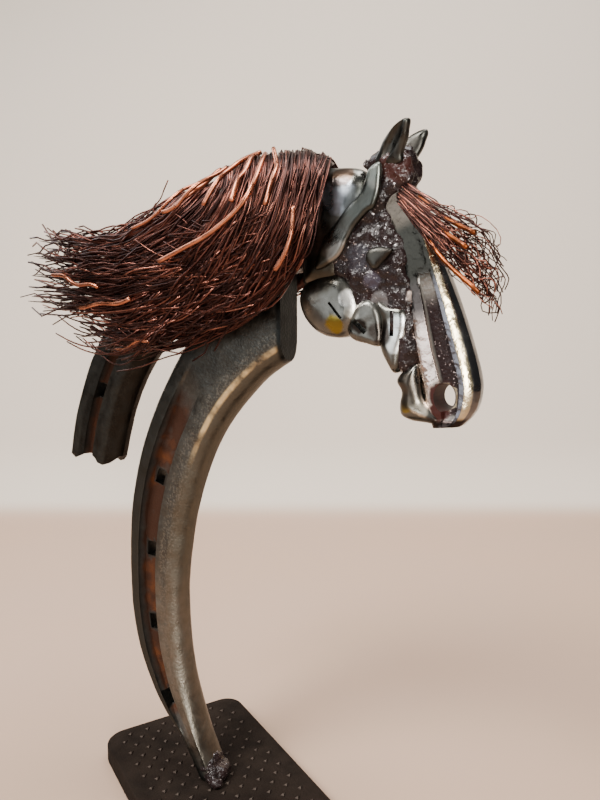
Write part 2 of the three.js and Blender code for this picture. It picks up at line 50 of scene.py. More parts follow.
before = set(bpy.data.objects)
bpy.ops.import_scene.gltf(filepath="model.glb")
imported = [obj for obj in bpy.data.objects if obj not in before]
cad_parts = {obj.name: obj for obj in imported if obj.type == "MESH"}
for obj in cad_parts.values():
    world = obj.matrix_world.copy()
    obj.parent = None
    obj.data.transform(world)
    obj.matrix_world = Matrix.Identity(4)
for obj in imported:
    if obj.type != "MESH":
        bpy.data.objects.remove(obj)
CAD_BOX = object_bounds()
MM = 0.001

CORNER_STEPS = 8
BEND_STEPS = 8
CAMERA_TURN, CAMERA_PITCH = math.radians(30), math.radians(90 - 7.268)

# The worn surface of the shoes: its height, and its waves and ripples in a metre
ROUGHNESS, WAVES, RIPPLES = 0.12 * MM, 160, 420
# What sets the unevenness of the head's flat pieces apart from that of the welds' balls
LAYER_SHIFT = 7

# The poll's place from the foot where the shoe's chord is 140
POLL_X, POLL_Z, POLL_CHORD = 50, 160, 140

# Outlines of the two shoes' branches, in hundredths of the neck shoe's chord from its foot
NECK_OUTER = [(-1.8, 0.3), (-6, 7.2), (-13.4, 16.2), (-18.2, 28.5), (-19.1, 43), (-17.4, 58.5),
              (-11.6, 74), (-2, 88.6), (6.6, 95.6), (17.4, 100.2)]
NECK_INNER = [(1.6, 0.3), (-1.9, 8.5), (-5.4, 20), (-6.8, 33), (-6.1, 44), (-3.2, 57), (2.6, 70),
              (11, 79.8), (17.4, 84.4)]
CREST_OUTER = [(-35.4, 62.4), (-32.8, 72.6), (-27.2, 84.8), (-18, 96.6), (-8, 105), (2.4, 110.8),
               (12.8, 114.8), (21.9, 116.8)]
CREST_INNER = [(-22.8, 62.6), (-19.8, 72.4), (-15.6, 80.6), (-10.2, 86.8), (-3, 91.2), (4, 94.6),
               (12, 98.4), (20.2, 102)]

# The head's outlines, in hundredths of its length from the poll
FACE_OUTER = [(9, -5), (13.4, -14), (18.2, -26), (24.8, -42), (29.4, -55), (32.6, -66), (33.2, -72),
              (31.6, -78.4), (27.4, -83.4)]
FACE_INNER = [(-1.6, -10.4), (2.2, -18), (6, -26), (8.6, -40), (10.2, -52), (11.6, -60), (14.2, -69),
              (16, -77), (18.6, -84.4)]
JAW = [(-19, -32), (-26, -33), (-31.6, -38), (-32.6, -44), (-29, -50.4), (-22, -54.4), (-14, -54.6),
       (-9.4, -50), (-8, -44), (-12, -36)]
BRIDGE = [(-12, -53.6), (-9.4, -44), (-3.4, -42), (0.4, -48), (0.4, -57), (-5.4, -57)]
MANDIBLE = [(-2.4, -42.4), (-0.6, -49), (-1, -56.6), (1.6, -63), (4.4, -66.8), (7, -65), (8.2, -59.4),
            (9.4, -54), (9.8, -49), (8.6, -44.6), (3, -43.4)]
CHIN = [(5, -69.4), (7.4, -66), (12.6, -63), (13.6, -69), (15, -75), (18.2, -78.2), (21, -81.2),
        (20.2, -83.2), (16.3, -82.9), (10.6, -82.4), (7, -80.9), (6, -77), (6.8, -73)]
BAND = [(0, 2), (-4, 0.6), (-5.6, -3.6), (-7.6, -7.4), (-11.8, -11), (-16.6, -16.6), (-21.4, -22.4),
        (-24, -31.4), (-15.6, -28), (-11.6, -22), (-9, -17.6), (-5, -13.6), (-2, -11.6), (0, -6)]
COLLAR = [(-26.6, 3.4), (-9, 1.4), (-5, -7), (-9, -17), (-14, -27), (-18, -36), (-30.6, -37),
          (-31.6, -28.4), (-30.8, -20), (-29, -12), (-27, -3)]
WELD = [(-5.6, 3.4), (-2, 6.6), (4, 7), (9, 3.4), (9.4, -4), (1.4, -9.8), (4, -17.4), (7.8, -25.6),
        (10.2, -39), (11.6, -51), (12.8, -60), (7, -66), (0, -46), (-8, -49), (-14, -36), (-21, -33),
        (-20, -24), (-10, -12)]
EYE = [(-5, -27.8), (-4, -25.6), (-1.6, -24.8), (1, -24.8), (4.6, -25.8), (3, -28), (1, -30),
       (-0.8, -32), (-2.8, -31.8), (-4.4, -30)]
EAR = [(-3.4, 2), (-1, 7), (2.6, 11.4), (6.4, 13.8), (10.4, 14.7), (9.9, 11.4), (8.8, 8), (7.2, 4.6),
       (6, 1.6)]

# The mane's lanes from the poll back, root to tip: x and z in hundredths of the shoe's
# chord, y in millimetres; and the forelock's, in hundredths of the head's length
LANES = [
    [(24, 116.6, 0), (24.6, 110.2, -7), (21.6, 99.6, -10), (12.6, 92.2, -10), (0, 88, -10),
     (-16.4, 84.6, -9)],
    [(17.4, 118.2, 0), (17.8, 112.5, -7), (14, 103.6, -10), (1.8, 98, -11), (-16.4, 95, -11),
     (-41.4, 95.8, -9)],
    [(7, 116.6, 0), (6.8, 111.6, -6), (0.6, 105, -9), (-10.4, 101, -11), (-22.4, 100.4, -11),
     (-40.4, 101.8, -9)],
    [(-3.4, 114, 0), (-5, 112, -5), (-10.6, 109, -7), (-17.8, 106.4, -8), (-26.6, 106.4, -8),
     (-37, 108.4, -8)],
]
SHORT_LANES = [
    [(25, 117, -2), (25.8, 112.4, -9), (25.1, 106.1, -12), (22.8, 101.2, -12), (18.9, 97.2, -11),
     (15.2, 93.6, -10)],
    [(20.9, 118.7, -2), (23, 113.3, -10), (20.9, 106.4, -12), (16.8, 100.4, -12), (11.6, 94.8, -11),
     (5, 89, -10)],
    [(13, 118.9, -2), (15.5, 113.8, -10), (13.9, 107.6, -12), (8.6, 101.1, -12), (2.2, 94.9, -11),
     (-6, 87.5, -10)],
    [(6, 117.4, -2), (8.3, 113, -9), (4.7, 107.3, -11), (-2, 101.5, -11), (-9.6, 94.9, -10),
     (-20, 87.6, -9)],
]
THICK_WIRES = [
    [(14.3, 119.4, -3), (15.3, 117.2, -7), (15.9, 112.5, -12), (13.7, 108.8, -13.5), (8.7, 105.9, -14),
     (3.2, 104, -14), (-2.6, 101.4, -14)],
    [(15.9, 119.4, -3), (18.7, 116.2, -8), (19.2, 112, -12), (18.7, 109.8, -13)],
    [(12.1, 118.7, -3), (13, 116.7, -8), (13, 113.2, -12), (12.5, 110.8, -13.5)],
    [(13, 119.4, -2), (10.5, 118.1, -6), (9.3, 114.4, -11.4), (6.8, 110.4, -13.4)],
    [(6.4, 117.6, -3), (5.7, 115.9, -8), (3.7, 113.3, -11.4), (0.5, 110.8, -12.6)],
    [(5.1, 117.1, -3), (4.2, 114.9, -8), (2.6, 112.1, -11.6), (-2.4, 110, -12.6)],
    [(0.4, 116, -3), (-0.8, 113.6, -8), (-4.4, 110.4, -11), (-10, 107.4, -12)],
    [(23.9, 108.6, -13), (24, 105.1, -14), (23.2, 102, -14.4), (21.1, 99.7, -14.4)],
    [(-31.2, 100.5, -12), (-24.4, 98.5, -13), (-18.1, 97.3, -13)],
    [(-15.5, 85.4, -11.6), (-11, 86.8, -12.4), (-6, 88, -13)],
    [(-24, 94, -12), (-16, 94.2, -13), (-10, 95.4, -13.4)],
]
LOOSE_WIRES = [
    [(-9.8, 108.7, -9), (-7.8, 110.7, -9), (-5.4, 112.6, -9), (-4.4, 114.2, -9), (-3.4, 115.8, -9)],
    [(1, 108, -9.4), (-2, 109.9, -9), (-5.4, 109.8, -9), (-7, 111, -9), (-6.3, 112.1, -9)],
    [(-6.2, 88.4, -10), (-15.5, 87.6, -10), (-24.6, 86.9, -10)],
]
FORELOCK = [
    [(4.4, -3, -2), (14.9, -10.8, -4), (25.3, -16.3, -5), (33.2, -19.9, -5), (38.4, -25.5, -4),
     (39.4, -32.1, -4)],
    [(5, -7.4, -3), (16.8, -16.6, -5), (26, -23.5, -6), (33.3, -30.8, -6), (37.8, -39, -5),
     (38.8, -50.1, -4)],
    [(6, -10.4, -4), (14.4, -20, -5), (22, -29, -6), (28.5, -35.7, -6), (33.4, -42.5, -5),
     (36.9, -48, -4)],
]
RODS = [
    [(8.1, -6.5, 1), (20.5, -16, -4), (33.1, -22.6, -8)],
    [(9.9, -9.1, 1), (21.1, -20.2, -5), (31.2, -26.9, -9)],
    [(9.2, -11.5, 1), (20.5, -27.6, -6), (35.4, -40.4, -9)],
]


# Patches of colour: x and z in hundredths of the head's length, radius in millimetres, amount, colour
# On the polished steel: brown and yellow heat tints, blue-white and white painted highlights, and painted
# shade in the bridge's hollow and on the collar's lower part.
POLISH_TINTS_AND_LIGHT = [
    (-15.2, -7.2, 3.2, 0.9, (0.62, 0.68, 0.76)), (-14.9, 0.6, 2.6, 0.9, (0.06, 0.035, 0.022)),
    (-24, -22, 4, 0.7, (0.12, 0.08, 0.056)), (-22.6, -33, 3.6, 0.9, (0.05, 0.043, 0.032)),
    (-27.4, -39, 2.6, 0.7, (0.12, 0.1, 0.08)), (-16.9, -50.8, 1.8, 0.9, (0.2, 0.14, 0.014)),
    (-10.2, -41.4, 2.2, 0.9, (0.86, 0.84, 0.78)), (-10.2, -46, 1.6, 0.6, (0.5, 0.47, 0.4)),
    (-7.2, -51, 1.4, 1, (0.02, 0.015, 0.012)), (9, -78.4, 1.6, 0.9, (0.22, 0.165, 0.03)),
    (14.7, -76.4, 2.2, 0.9, (0.8, 0.72, 0.58)), (9.4, -72, 3.4, 0.9, (0.07, 0.058, 0.047)),
    (20.4, -82.4, 2, 1, (0.04, 0.03, 0.026)), (7, -51.4, 2.2, 0.9, (0.8, 0.82, 0.8)),
    (6.2, -57, 1.6, 0.8, (0.75, 0.75, 0.7)), (0.1, -53, 2.2, 0.9, (0.05, 0.04, 0.034)),
    (-1.6, 0.4, 2.4, 0.8, (0.17, 0.185, 0.165)), (-6.8, -11.4, 4, 0.9, (0.05, 0.055, 0.05)),
    (-11.6, -19, 2.6, 0.7, (0.06, 0.06, 0.054)), (-14.6, -26.6, 2.4, 0.7, (0.3, 0.28, 0.25)),
]
# On the weld: blue and purple oxide tints, a lighter grey, a red-brown patch at the poll, and a pink-cream
# painted highlight streak.
WELD_TINTS_AND_HIGHLIGHT = [
    (-3, -35.5, 1.6, 0.35, (0.075, 0.065, 0.09)), (-8.2, -28.1, 2.4, 0.4, (0.05, 0.05, 0.062)),
    (11.3, -41, 1.2, 1, (0.5, 0.4, 0.35)), (-0.6, -43, 1.8, 0.6, (0.14, 0.13, 0.13)),
    (5.1, 1.5, 3, 0.5, (0.06, 0.018, 0.014)),
]
NOSTRIL_RED = (0.03, 0.007, 0.005)


class HORSE_PG_sizes(bpy.types.PropertyGroup):
    plate_length: bpy.props.FloatProperty(
        name="Plate length", description="Length of the rasp plate", default=0.115, unit="LENGTH")
    plate_width: bpy.props.FloatProperty(
        name="Plate width", description="Width of the rasp plate", default=0.045, unit="LENGTH")
    plate_thickness: bpy.props.FloatProperty(
        name="Plate thickness", description="Thickness of the rasp plate", default=0.0055, unit="LENGTH")
    plate_yaw: bpy.props.FloatProperty(
        name="Plate turn", description="Turn of the plate under the neck", default=math.radians(-28.8),
        subtype="ANGLE", unit="ROTATION")
    plate_back: bpy.props.FloatProperty(
        name="Plate back", description="From the plate's back edge to the neck's foot", default=0.035,
        unit="LENGTH")
    shoe_height: bpy.props.FloatProperty(
        name="Shoe height", description="Chord of the neck shoe, heel to toe", default=0.14, unit="LENGTH")
    shoe_thickness: bpy.props.FloatProperty(
        name="Shoe thickness", description="Thickness of the two shoes", default=0.008, unit="LENGTH")
    head_length: bpy.props.FloatProperty(
        name="Head length", description="Length that the head's outlines are shares of", default=0.065,
        unit="LENGTH")
    wire_radius: bpy.props.FloatProperty(
        name="Wire radius", description="Radius of the thin mane wire", default=0.00021, unit="LENGTH")
    copper_radius: bpy.props.FloatProperty(
        name="Thick wire radius", description="Radius of the mane's thick wires", default=0.00058,
        unit="LENGTH")


def sizes():
    """The scene's sizes, in metres and radians."""
    return bpy.context.scene.horse_sizes


def foot():
    """The neck's foot on top of the plate."""
    s = sizes()
    reach = s.plate_back - s.plate_length / 2
    return Vector((reach * math.cos(s.plate_yaw), reach * math.sin(s.plate_yaw), s.plate_thickness))


def placed(points, x, z, share):
    """Rows of x, y, z in metres from points of x and z in shares and perhaps y in millimetres;
    their origin is x and z metres from the foot."""
    base = foot()
    return np.array([(base.x + x + p[0] * share, base.y + (p[2] * MM if len(p) > 2 else 0),
                      base.z + z + p[1] * share) for p in points])


def neck_row(points):
    """Rows from points in hundredths of the shoe's chord, from the foot."""
    return placed(points, 0, 0, sizes().shoe_height / 100)


def head_row(points):
    """Rows from points in hundredths of the head's length, from the poll."""
    s = sizes()
    x, z = (s.shoe_height * place / POLL_CHORD for place in (POLL_X, POLL_Z))
    return placed(points, x, z, s.head_length / 100)


# Curves
def smooth_curve(rows, closed=False, fine=14):
    """A dense smooth curve through a few points."""
    count = len(rows)

    def row(i):
        return rows[i % count] if closed else rows[min(max(i, 0), count - 1)]

    made = []
    for span in range(count if closed else count - 1):
        a, b, c, d = (row(span + k) for k in (-1, 0, 1, 2))
        for step in range(fine):
            t = step / fine
            made.append(0.5 * (2 * b + (c - a) * t + (2 * a - 5 * b + 4 * c - d) * t * t
                               + (3 * b - a - 3 * c + d) * t ** 3))
    made.append(row(0) if closed else rows[-1])
    return np.array(made)


def even_points(rows, count, closed=False):
    """That curve as evenly spaced points."""
    dense = smooth_curve(np.asarray(rows, float), closed)
    run = np.concatenate([[0], np.cumsum(np.linalg.norm(np.diff(dense, axis=0), axis=1))])
    wanted = np.linspace(0, run[-1], count + (1 if closed else 0))
    wanted = wanted[:-1] if closed else wanted
    return np.stack([np.interp(wanted, run, dense[:, k]) for k in range(3)], axis=1)


def ease(value, low, high):
    """0 up to low, 1 from high on, and smooth between them."""
    t = min(1, max(0, (value - low) / (high - low)))
    return t * t * (3 - 2 * t)


# Objects and meshes
def new_object(name, mesh, materials):
    """A linked object; its faces keep their material numbers, as far as there are materials."""
    obj = bpy.data.objects.new(name, mesh)
    bpy.context.scene.collection.objects.link(obj)
    index = np.zeros(len(mesh.polygons), dtype=np.int32)
    mesh.polygons.foreach_get("material_index", index)
    mesh.materials.clear()
    for material in materials:
        mesh.materials.append(material)
    mesh.polygons.foreach_set("material_index", np.minimum(index, max(0, len(materials) - 1)))
    return obj


def mesh_from(bm, name):
    """The mesh of bm with its faces outward, and bm freed."""
    bmesh.ops.recalc_face_normals(bm, faces=bm.faces)
    mesh = bpy.data.meshes.new(name)
    bm.to_mesh(mesh)
    bm.free()
    return mesh


def evaluated(obj):
    """The object's mesh with its modifiers applied."""
    graph = bpy.context.evaluated_depsgraph_get()
    return bpy.data.meshes.new_from_object(obj.evaluated_get(graph), preserve_all_data_layers=True,
                                           depsgraph=graph)


def taken(obj):
    """That mesh, and the object removed."""
    mesh = evaluated(obj)
    bpy.data.objects.remove(obj)
    return mesh


def keep(obj, nodes, smooth_angle=None):
    """A finished piece: it stands for those CAD nodes."""
    obj.data.shade_smooth()
    if smooth_angle:
        obj.data.set_sharp_from_angle(angle=math.radians(smooth_angle))
    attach(obj, "root")
    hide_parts(*nodes)


def bevel(obj, width):
    """Rounds the edges that turn by more than 28 degrees."""
    tool = obj.modifiers.new("edges", "BEVEL")
    tool.width = width
    tool.segments = 2
    tool.limit_method = "ANGLE"
    tool.angle_limit = math.radians(28)
    tool.harden_normals = False


def subtract(obj, cutters):
    """Cuts those objects out of obj at once, and removes them."""
    for cutter in cutters:
        tool = obj.modifiers.new("cut", "BOOLEAN")
        tool.object = cutter
        tool.solver = "EXACT"
        tool.material_mode = "TRANSFER" if cutter.data.materials else "INDEX"
    mesh = evaluated(obj)
    obj.modifiers.clear()
    obj.data = mesh
    for cutter in cutters:
        bpy.data.objects.remove(cutter)


def block(size, turn, place):
    """A box to cut with, turned in the horse's plane."""
    bm = bmesh.new()
    matrix = Matrix.Translation(place) @ Matrix.Rotation(turn, 4, "Y") @ Matrix.Diagonal((*size, 1))
    bmesh.ops.create_cube(bm, size=1, matrix=matrix)
    return new_object("cutter", mesh_from(bm, "cutter"), [])


# Horseshoe branches
def shoe_section(land, crease_width, crease_depth, rim):
    """Columns across the web: share, near depth, far depth, crease depth, in millimetres.
    The land outside the crease, the crease's width and the ground rim are shares of the web."""
    wall = 0.035
    return [(0, 0.9, 0.9, 0), (0.045, 0, 0, 0), (land / 2, 0, 0, 0), (land, 0, 0, 0),
            (land + wall, 0, 0, crease_depth),
            (land + crease_width / 2, 0, 0, crease_depth + 0.15),
            (land + crease_width - wall, 0, 0, crease_depth), (land + crease_width, 0, 0, 0),
            ((land + crease_width + 1 - rim) / 2, 0.12, 0, 0),
            (1 - rim, 0, 0, 0), (1 - rim * 0.7, 0.45, 0.25, 0), (1 - rim * 0.38, 1.3, 0.7, 0),
            (1 - rim * 0.14, 2.4, 1.5, 0), (1, 3.9, 2.4, 0)]


FACE_SECTION = [
    (0, 2.6, 1.2, 0), (0.05, 1.6, 0.6, 0), (0.12, 0.75, 0.1, 0), (0.245, 0, 0, 0), (0.33, 0.1, 0, 0),
    (0.36, 0, 0, 1.4), (0.5, 0, 0, 1.1), (0.63, 0, 0, 1.4), (0.68, 0, 0, 0), (0.8, -0.1, 0, 0),
    (0.92, 0, 0, 0), (1, 0.9, 0.9, 0)]


def branch_mesh(name, outer, inner, section, thickness, steps, fade, roughen, ends=None, web=None):
    """A horseshoe's branch swept along its two edges. Its vertices carry a mark of three shares:
    across the web, along the branch and down in the crease. `fade` gives the crease's depth along
    the branch, `roughen` is the height of the worn surface, `ends` is a row of shares and one of
    how far the first end is cut back there, and `web` is the width that the depths are for."""
    outside, inside = even_points(outer, steps + 1), even_points(inner, steps + 1)
    ring = [(row, -1) for row in section] + [(row, 1) for row in reversed(section)]
    bm = bmesh.new()
    bmesh.ops.create_grid(bm, x_segments=steps, y_segments=len(ring), size=0.5)
    mark = bm.verts.layers.float_vector.new("mark")
    heading = [Vector(outside[min(i + 1, steps)] - outside[max(i - 1, 0)]).normalized()
               for i in range(steps + 1)]
    for v in bm.verts:
        i = round((v.co.x + 0.5) * steps)
        (share, near, far, crease), side = ring[round((v.co.y + 0.5) * len(ring)) % len(ring)]
        along = i / steps
        down = crease * fade(along) if side < 0 else 0
        slim = np.linalg.norm(outside[i] - inside[i]) / web if web else 1
        depth = (near * slim + down if side < 0 else far) * MM
        spot = Vector(outside[i]).lerp(Vector(inside[i]), share)
        if ends and i == 0:
            spot -= heading[0] * np.interp(share, *ends) * MM
        spot.y += side * (thickness / 2 - depth)
        wobble = noise.noise(spot * WAVES) + 0.6 * noise.noise(spot * RIPPLES)
        spot.y += side * wobble * roughen
        v.co = spot
        v[mark] = (share, along, down / crease if crease else 0)
    bmesh.ops.remove_doubles(bm, verts=bm.verts, dist=1e-7)
    rims = [e for e in bm.edges if e.is_boundary]
    bmesh.ops.holes_fill(bm, edges=rims, sides=0)
    return mesh_from(bm, name)


def nail_cutters(outer, inner, places, across, size):
    """Boxes for nail holes at shares of the way along, and at one share across."""
    cutters, fine = [], 200
    outside, inside = even_points(outer, fine + 1), even_points(inner, fine + 1)
    for along in places:
        i = round(along * fine)
        heading = outside[i + 1] - outside[i - 1]
        place = Vector(outside[i]).lerp(Vector(inside[i]), across)
        cutters.append(block(size, -math.atan2(heading[2], heading[0]), place))
    return cutters


# Forged and ground pieces of the head, and welds
def remeshed(name, bm, voxel):
    """The shapes in bm run together as one even mesh."""
    obj = new_object(name, mesh_from(bm, name), [])
    tool = obj.modifiers.new("even", "REMESH")
    tool.mode = "VOXEL"
    tool.voxel_size = voxel * MM
    return taken(obj)


def weathered(mesh, passes, relief, layer=None, turn=None, floor=None):
    """Smooths a mesh in `passes` and makes it uneven by rows of (size, height) in millimetres.
    `layer` sets its unevenness apart, `turn` moves it, and nothing stays below `floor`."""
    bm = bmesh.new()
    bm.from_mesh(mesh)
    for _ in range(passes):
        bmesh.ops.smooth_vert(bm, verts=bm.verts, factor=0.5, use_axis_x=True, use_axis_y=True,
                              use_axis_z=True)
    bm.normal_update()
    for size, height in relief:
        shift = Vector() if layer is None else Vector((layer, size, LAYER_SHIFT))
        for v in bm.verts:
            v.co += v.normal * (noise.noise(v.co * (1000 / size) + shift) * height * MM)
        bm.normal_update()
    if turn:
        bmesh.ops.transform(bm, matrix=turn, verts=bm.verts)
    if floor is not None:
        for v in bm.verts:
            v.co.z = max(v.co.z, floor)
    bm.to_mesh(mesh)
    bm.free()
    return mesh


def edge_distance(rows, outline):
    """How far each vertex is inside the outline, seen from the side."""
    a = outline[:, [0, 2]]
    b = np.roll(a, -1, axis=0)
    p = rows[:, None, [0, 2]]
    span = b - a
    t = np.clip(((p - a) * span).sum(2) / (span ** 2).sum(1), 0, 1)
    return np.linalg.norm(p - (a + t[..., None] * span), axis=2).min(1)


def forged(name, outline, thickness, y, rounding, edge, voxel=0.4, relief=(), lumps=(), turn=None):
    """A flat piece in the horse's plane at the depth y: rounded over `rounding` from its outline,
    where it keeps the share `edge` of its thickness. Lumps are balls of x, z, depth and radius.
    Depths, thickness, rounding, voxel and radii are in millimetres."""
    points = even_points(head_row(outline), 90, closed=True)
    bm = bmesh.new()
    half = thickness / 2 * MM
    verts = [bm.verts.new((p[0], p[1] + y * MM - half, p[2])) for p in points]
    grown = bmesh.ops.extrude_face_region(bm, geom=[bm.faces.new(verts)])
    moved = [v for v in grown["geom"] if isinstance(v, bmesh.types.BMVert)]
    bmesh.ops.translate(bm, vec=(0, 2 * half, 0), verts=moved)
    for x, z, ball_y, radius in lumps:
        place = head_row([(x, z, ball_y)])[0]
        bmesh.ops.create_icosphere(bm, subdivisions=2, radius=radius * MM, matrix=Matrix.Translation(place))
    mesh = remeshed(name, bm, voxel)
    rows = np.empty(len(mesh.vertices) * 3)
    mesh.vertices.foreach_get("co", rows)
    rows = rows.reshape(-1, 3)
    middle = points[0][1] + y * MM
    inside = np.clip(edge_distance(rows, points) / (rounding * MM), 0, 1)
    full = edge + (1 - edge) * np.sqrt(1 - (1 - inside) ** 2)
    thin = np.abs(rows[:, 1] - middle) <= half * 1.02
    rows[thin, 1] = middle + (rows[thin, 1] - middle) * full[thin]
    mesh.vertices.foreach_set("co", rows.ravel())
    return weathered(mesh, 2, relief, y, turn)


def blob(name, balls, voxel, relief, floor=None):
    """Weld beads: balls run together."""
    bm = bmesh.new()
    for place, radii in balls:
        matrix = Matrix.Translation(place) @ Matrix.Diagonal((*[r * MM for r in radii], 1))
        bmesh.ops.create_icosphere(bm, subdivisions=3, radius=1, matrix=matrix)
    return weathered(remeshed(name, bm, voxel), 1, relief, floor=floor)


# Wire
def wire_mesh(name, strands, sides, paints):
    """Many wires in one mesh. A strand is its rows of points, its radii and which material."""
    data = bpy.data.curves.new(name, "CURVE")
    data.dimensions = "3D"
    data.bevel_depth = 1
    data.bevel_resolution = (sides - 4) // 2
    data.use_fill_caps = True
    for paint in paints:
        data.materials.append(paint)
    for points, radii, index in strands:
        line = data.splines.new("POLY")
        line.points.add(len(points) - 1)
        line.points.foreach_set("co", np.column_stack([points, np.ones(len(points))]).ravel())
        line.points.foreach_set("radius", np.broadcast_to(radii, len(points)).copy())
        line.material_index = index
    obj = bpy.data.objects.new(name, data)
    bpy.context.scene.collection.objects.link(obj)
    mesh = taken(obj)
    bpy.data.curves.remove(data)
    return mesh


def joined(name, meshes, materials):
    """One object of several meshes, which are removed."""
    bm = bmesh.new()
    for mesh in meshes:
        bm.from_mesh(mesh)
        bpy.data.meshes.remove(mesh)
    bmesh.ops.remove_doubles(bm, verts=bm.verts, dist=1e-8)
    return new_object(name, mesh_from(bm, name), materials)


def between(lanes, share):
    """A lane at a share of the way through those lanes."""
    spot = min(max(share, 0), 0.9999) * (len(lanes) - 1)
    index = int(spot)
    return [tuple(a + (b - a) * (spot - index) for a, b in zip(p, q))
            for p, q in zip(lanes[index], lanes[index + 1])]


def wire_run(rows, dice, count, spread, reach, wander, phase):
    """One wire beside a lane: it keeps its place in the lock, opens out towards the tips
    by `spread` and wavers by `wander`, all in metres, and ends at the share `reach`."""
    fine = 40
    base = even_points(rows, fine)
    tangent = np.gradient(base, axis=0)
    tangent /= np.linalg.norm(tangent, axis=1)[:, None]
    across = np.cross(tangent, (0, 1, 0))
    across /= np.linalg.norm(across, axis=1)[:, None]
    outward = np.cross(across, tangent)
    angle, far = dice.uniform(0, 2 * math.pi), math.sqrt(dice.uniform(0, 1))
    t = np.linspace(0, 1, fine)
    turn = angle + phase * t
    opening = np.interp(t, (0, 0.25, 0.6, 1), spread)
    made = base + (across * (np.cos(turn) * opening)[:, None]
                   + outward * (np.sin(turn) * opening * 0.62)[:, None]) * far
    seed = dice.uniform(0, 90)
    for k in range(3):
        rate, shift = dice.uniform(2.2, 4.4) * (1 + k), seed + k * 1.7
        made[:, k] += wander * np.sin(rate * t * 3.1 + shift) * t ** 1.3 * (0.75 if k == 1 else 1)
    wanted = np.linspace(0, reach, count)
    return np.stack([np.interp(wanted, t, made[:, k]) for k in range(3)], axis=1)


def inside_box(points, margin):
    """The points, moved in where they are past the CAD model's box."""
    return np.clip(points, np.array(CAD_BOX[0]) + margin, np.array(CAD_BOX[1]) - margin)


# Materials
def new_node(tree, kind, values=()):
    """A shader node with the values of its sockets."""
    made = tree.nodes.new("ShaderNode" + kind)
    for socket, value in dict(values).items():
        made.inputs[socket].default_value = value
    return made


def node_group(name, inputs, outputs):
    """An empty node group with its sockets, and its input and output nodes."""
    tree = bpy.data.node_groups.new(name, "ShaderNodeTree")
    for label, kind, value in inputs:
        made = tree.interface.new_socket(label, in_out="INPUT", socket_type="NodeSocket" + kind)
        if value is not None:
            made.default_value = value
    for label in outputs:
        tree.interface.new_socket(label, in_out="OUTPUT", socket_type="NodeSocketFloat")
    return tree, tree.nodes.new("NodeGroupInput"), tree.nodes.new("NodeGroupOutput")


def wire_up(tree, links):
    """Links rows of a node, its output, another node and its input."""
    for source, output, target, socket in links:
        tree.links.new(source.outputs[output], target.inputs[socket])


def uneven_group():
    """Noise stretched to lie between two values."""
    name = "Uneven"
    if name in bpy.data.node_groups:
        return bpy.data.node_groups[name]
    tree, given, out = node_group(name, [
        ("Vector", "Vector", None), ("Scale", "Float", 100), ("Detail", "Float", 3),
        ("Low", "Float", 0), ("High", "Float", 1)], ["Value"])
    cloud = new_node(tree, "TexNoise")
    span = new_node(tree, "MapRange", {"From Min": 0.32, "From Max": 0.68})
    wire_up(tree, [
        (given, "Vector", cloud, "Vector"), (given, "Scale", cloud, "Scale"),
        (given, "Detail", cloud, "Detail"), (cloud, "Fac", span, "Value"),
        (given, "Low", span, "To Min"), (given, "High", span, "To Max"),
        (span, "Result", out, "Value")])
    return tree


def patch_group():
    """A patch round a place: full to its ragged edge at the radius, fading to 1.5 times that."""
    name = "Patch"
    if name in bpy.data.node_groups:
        return bpy.data.node_groups[name]
    tree, given, out = node_group(name, [
        ("Vector", "Vector", None), ("Centre", "Vector", None),
        ("Radius", "Float", 0.003), ("Amount", "Float", 1)], ["Mask"])
    ragged = 0.001
    cloud = new_node(tree, "TexNoise", {"Scale": 420})
    away = new_node(tree, "VectorMath")
    away.operation = "DISTANCE"
    spot = new_node(tree, "Math", {1: 2 * ragged})
    reach = new_node(tree, "Math", {1: 1.5, 2: ragged})
    for scaled in (spot, reach):
        scaled.operation = "MULTIPLY_ADD"
    full = new_node(tree, "Math", {1: ragged})
    span = new_node(tree, "MapRange")
    span.interpolation_type = "SMOOTHSTEP"
    wire_up(tree, [
        (given, "Vector", cloud, "Vector"), (given, "Vector", away, 0), (given, "Centre", away, 1),
        (cloud, "Fac", spot, 0), (away, "Value", spot, 2), (spot, 0, span, "Value"),
        (given, "Radius", reach, 0), (reach, 0, span, "From Min"),
        (given, "Radius", full, 0), (full, 0, span, "From Max"),
        (given, "Amount", span, "To Max"), (span, "Result", out, "Mask")])
    return tree


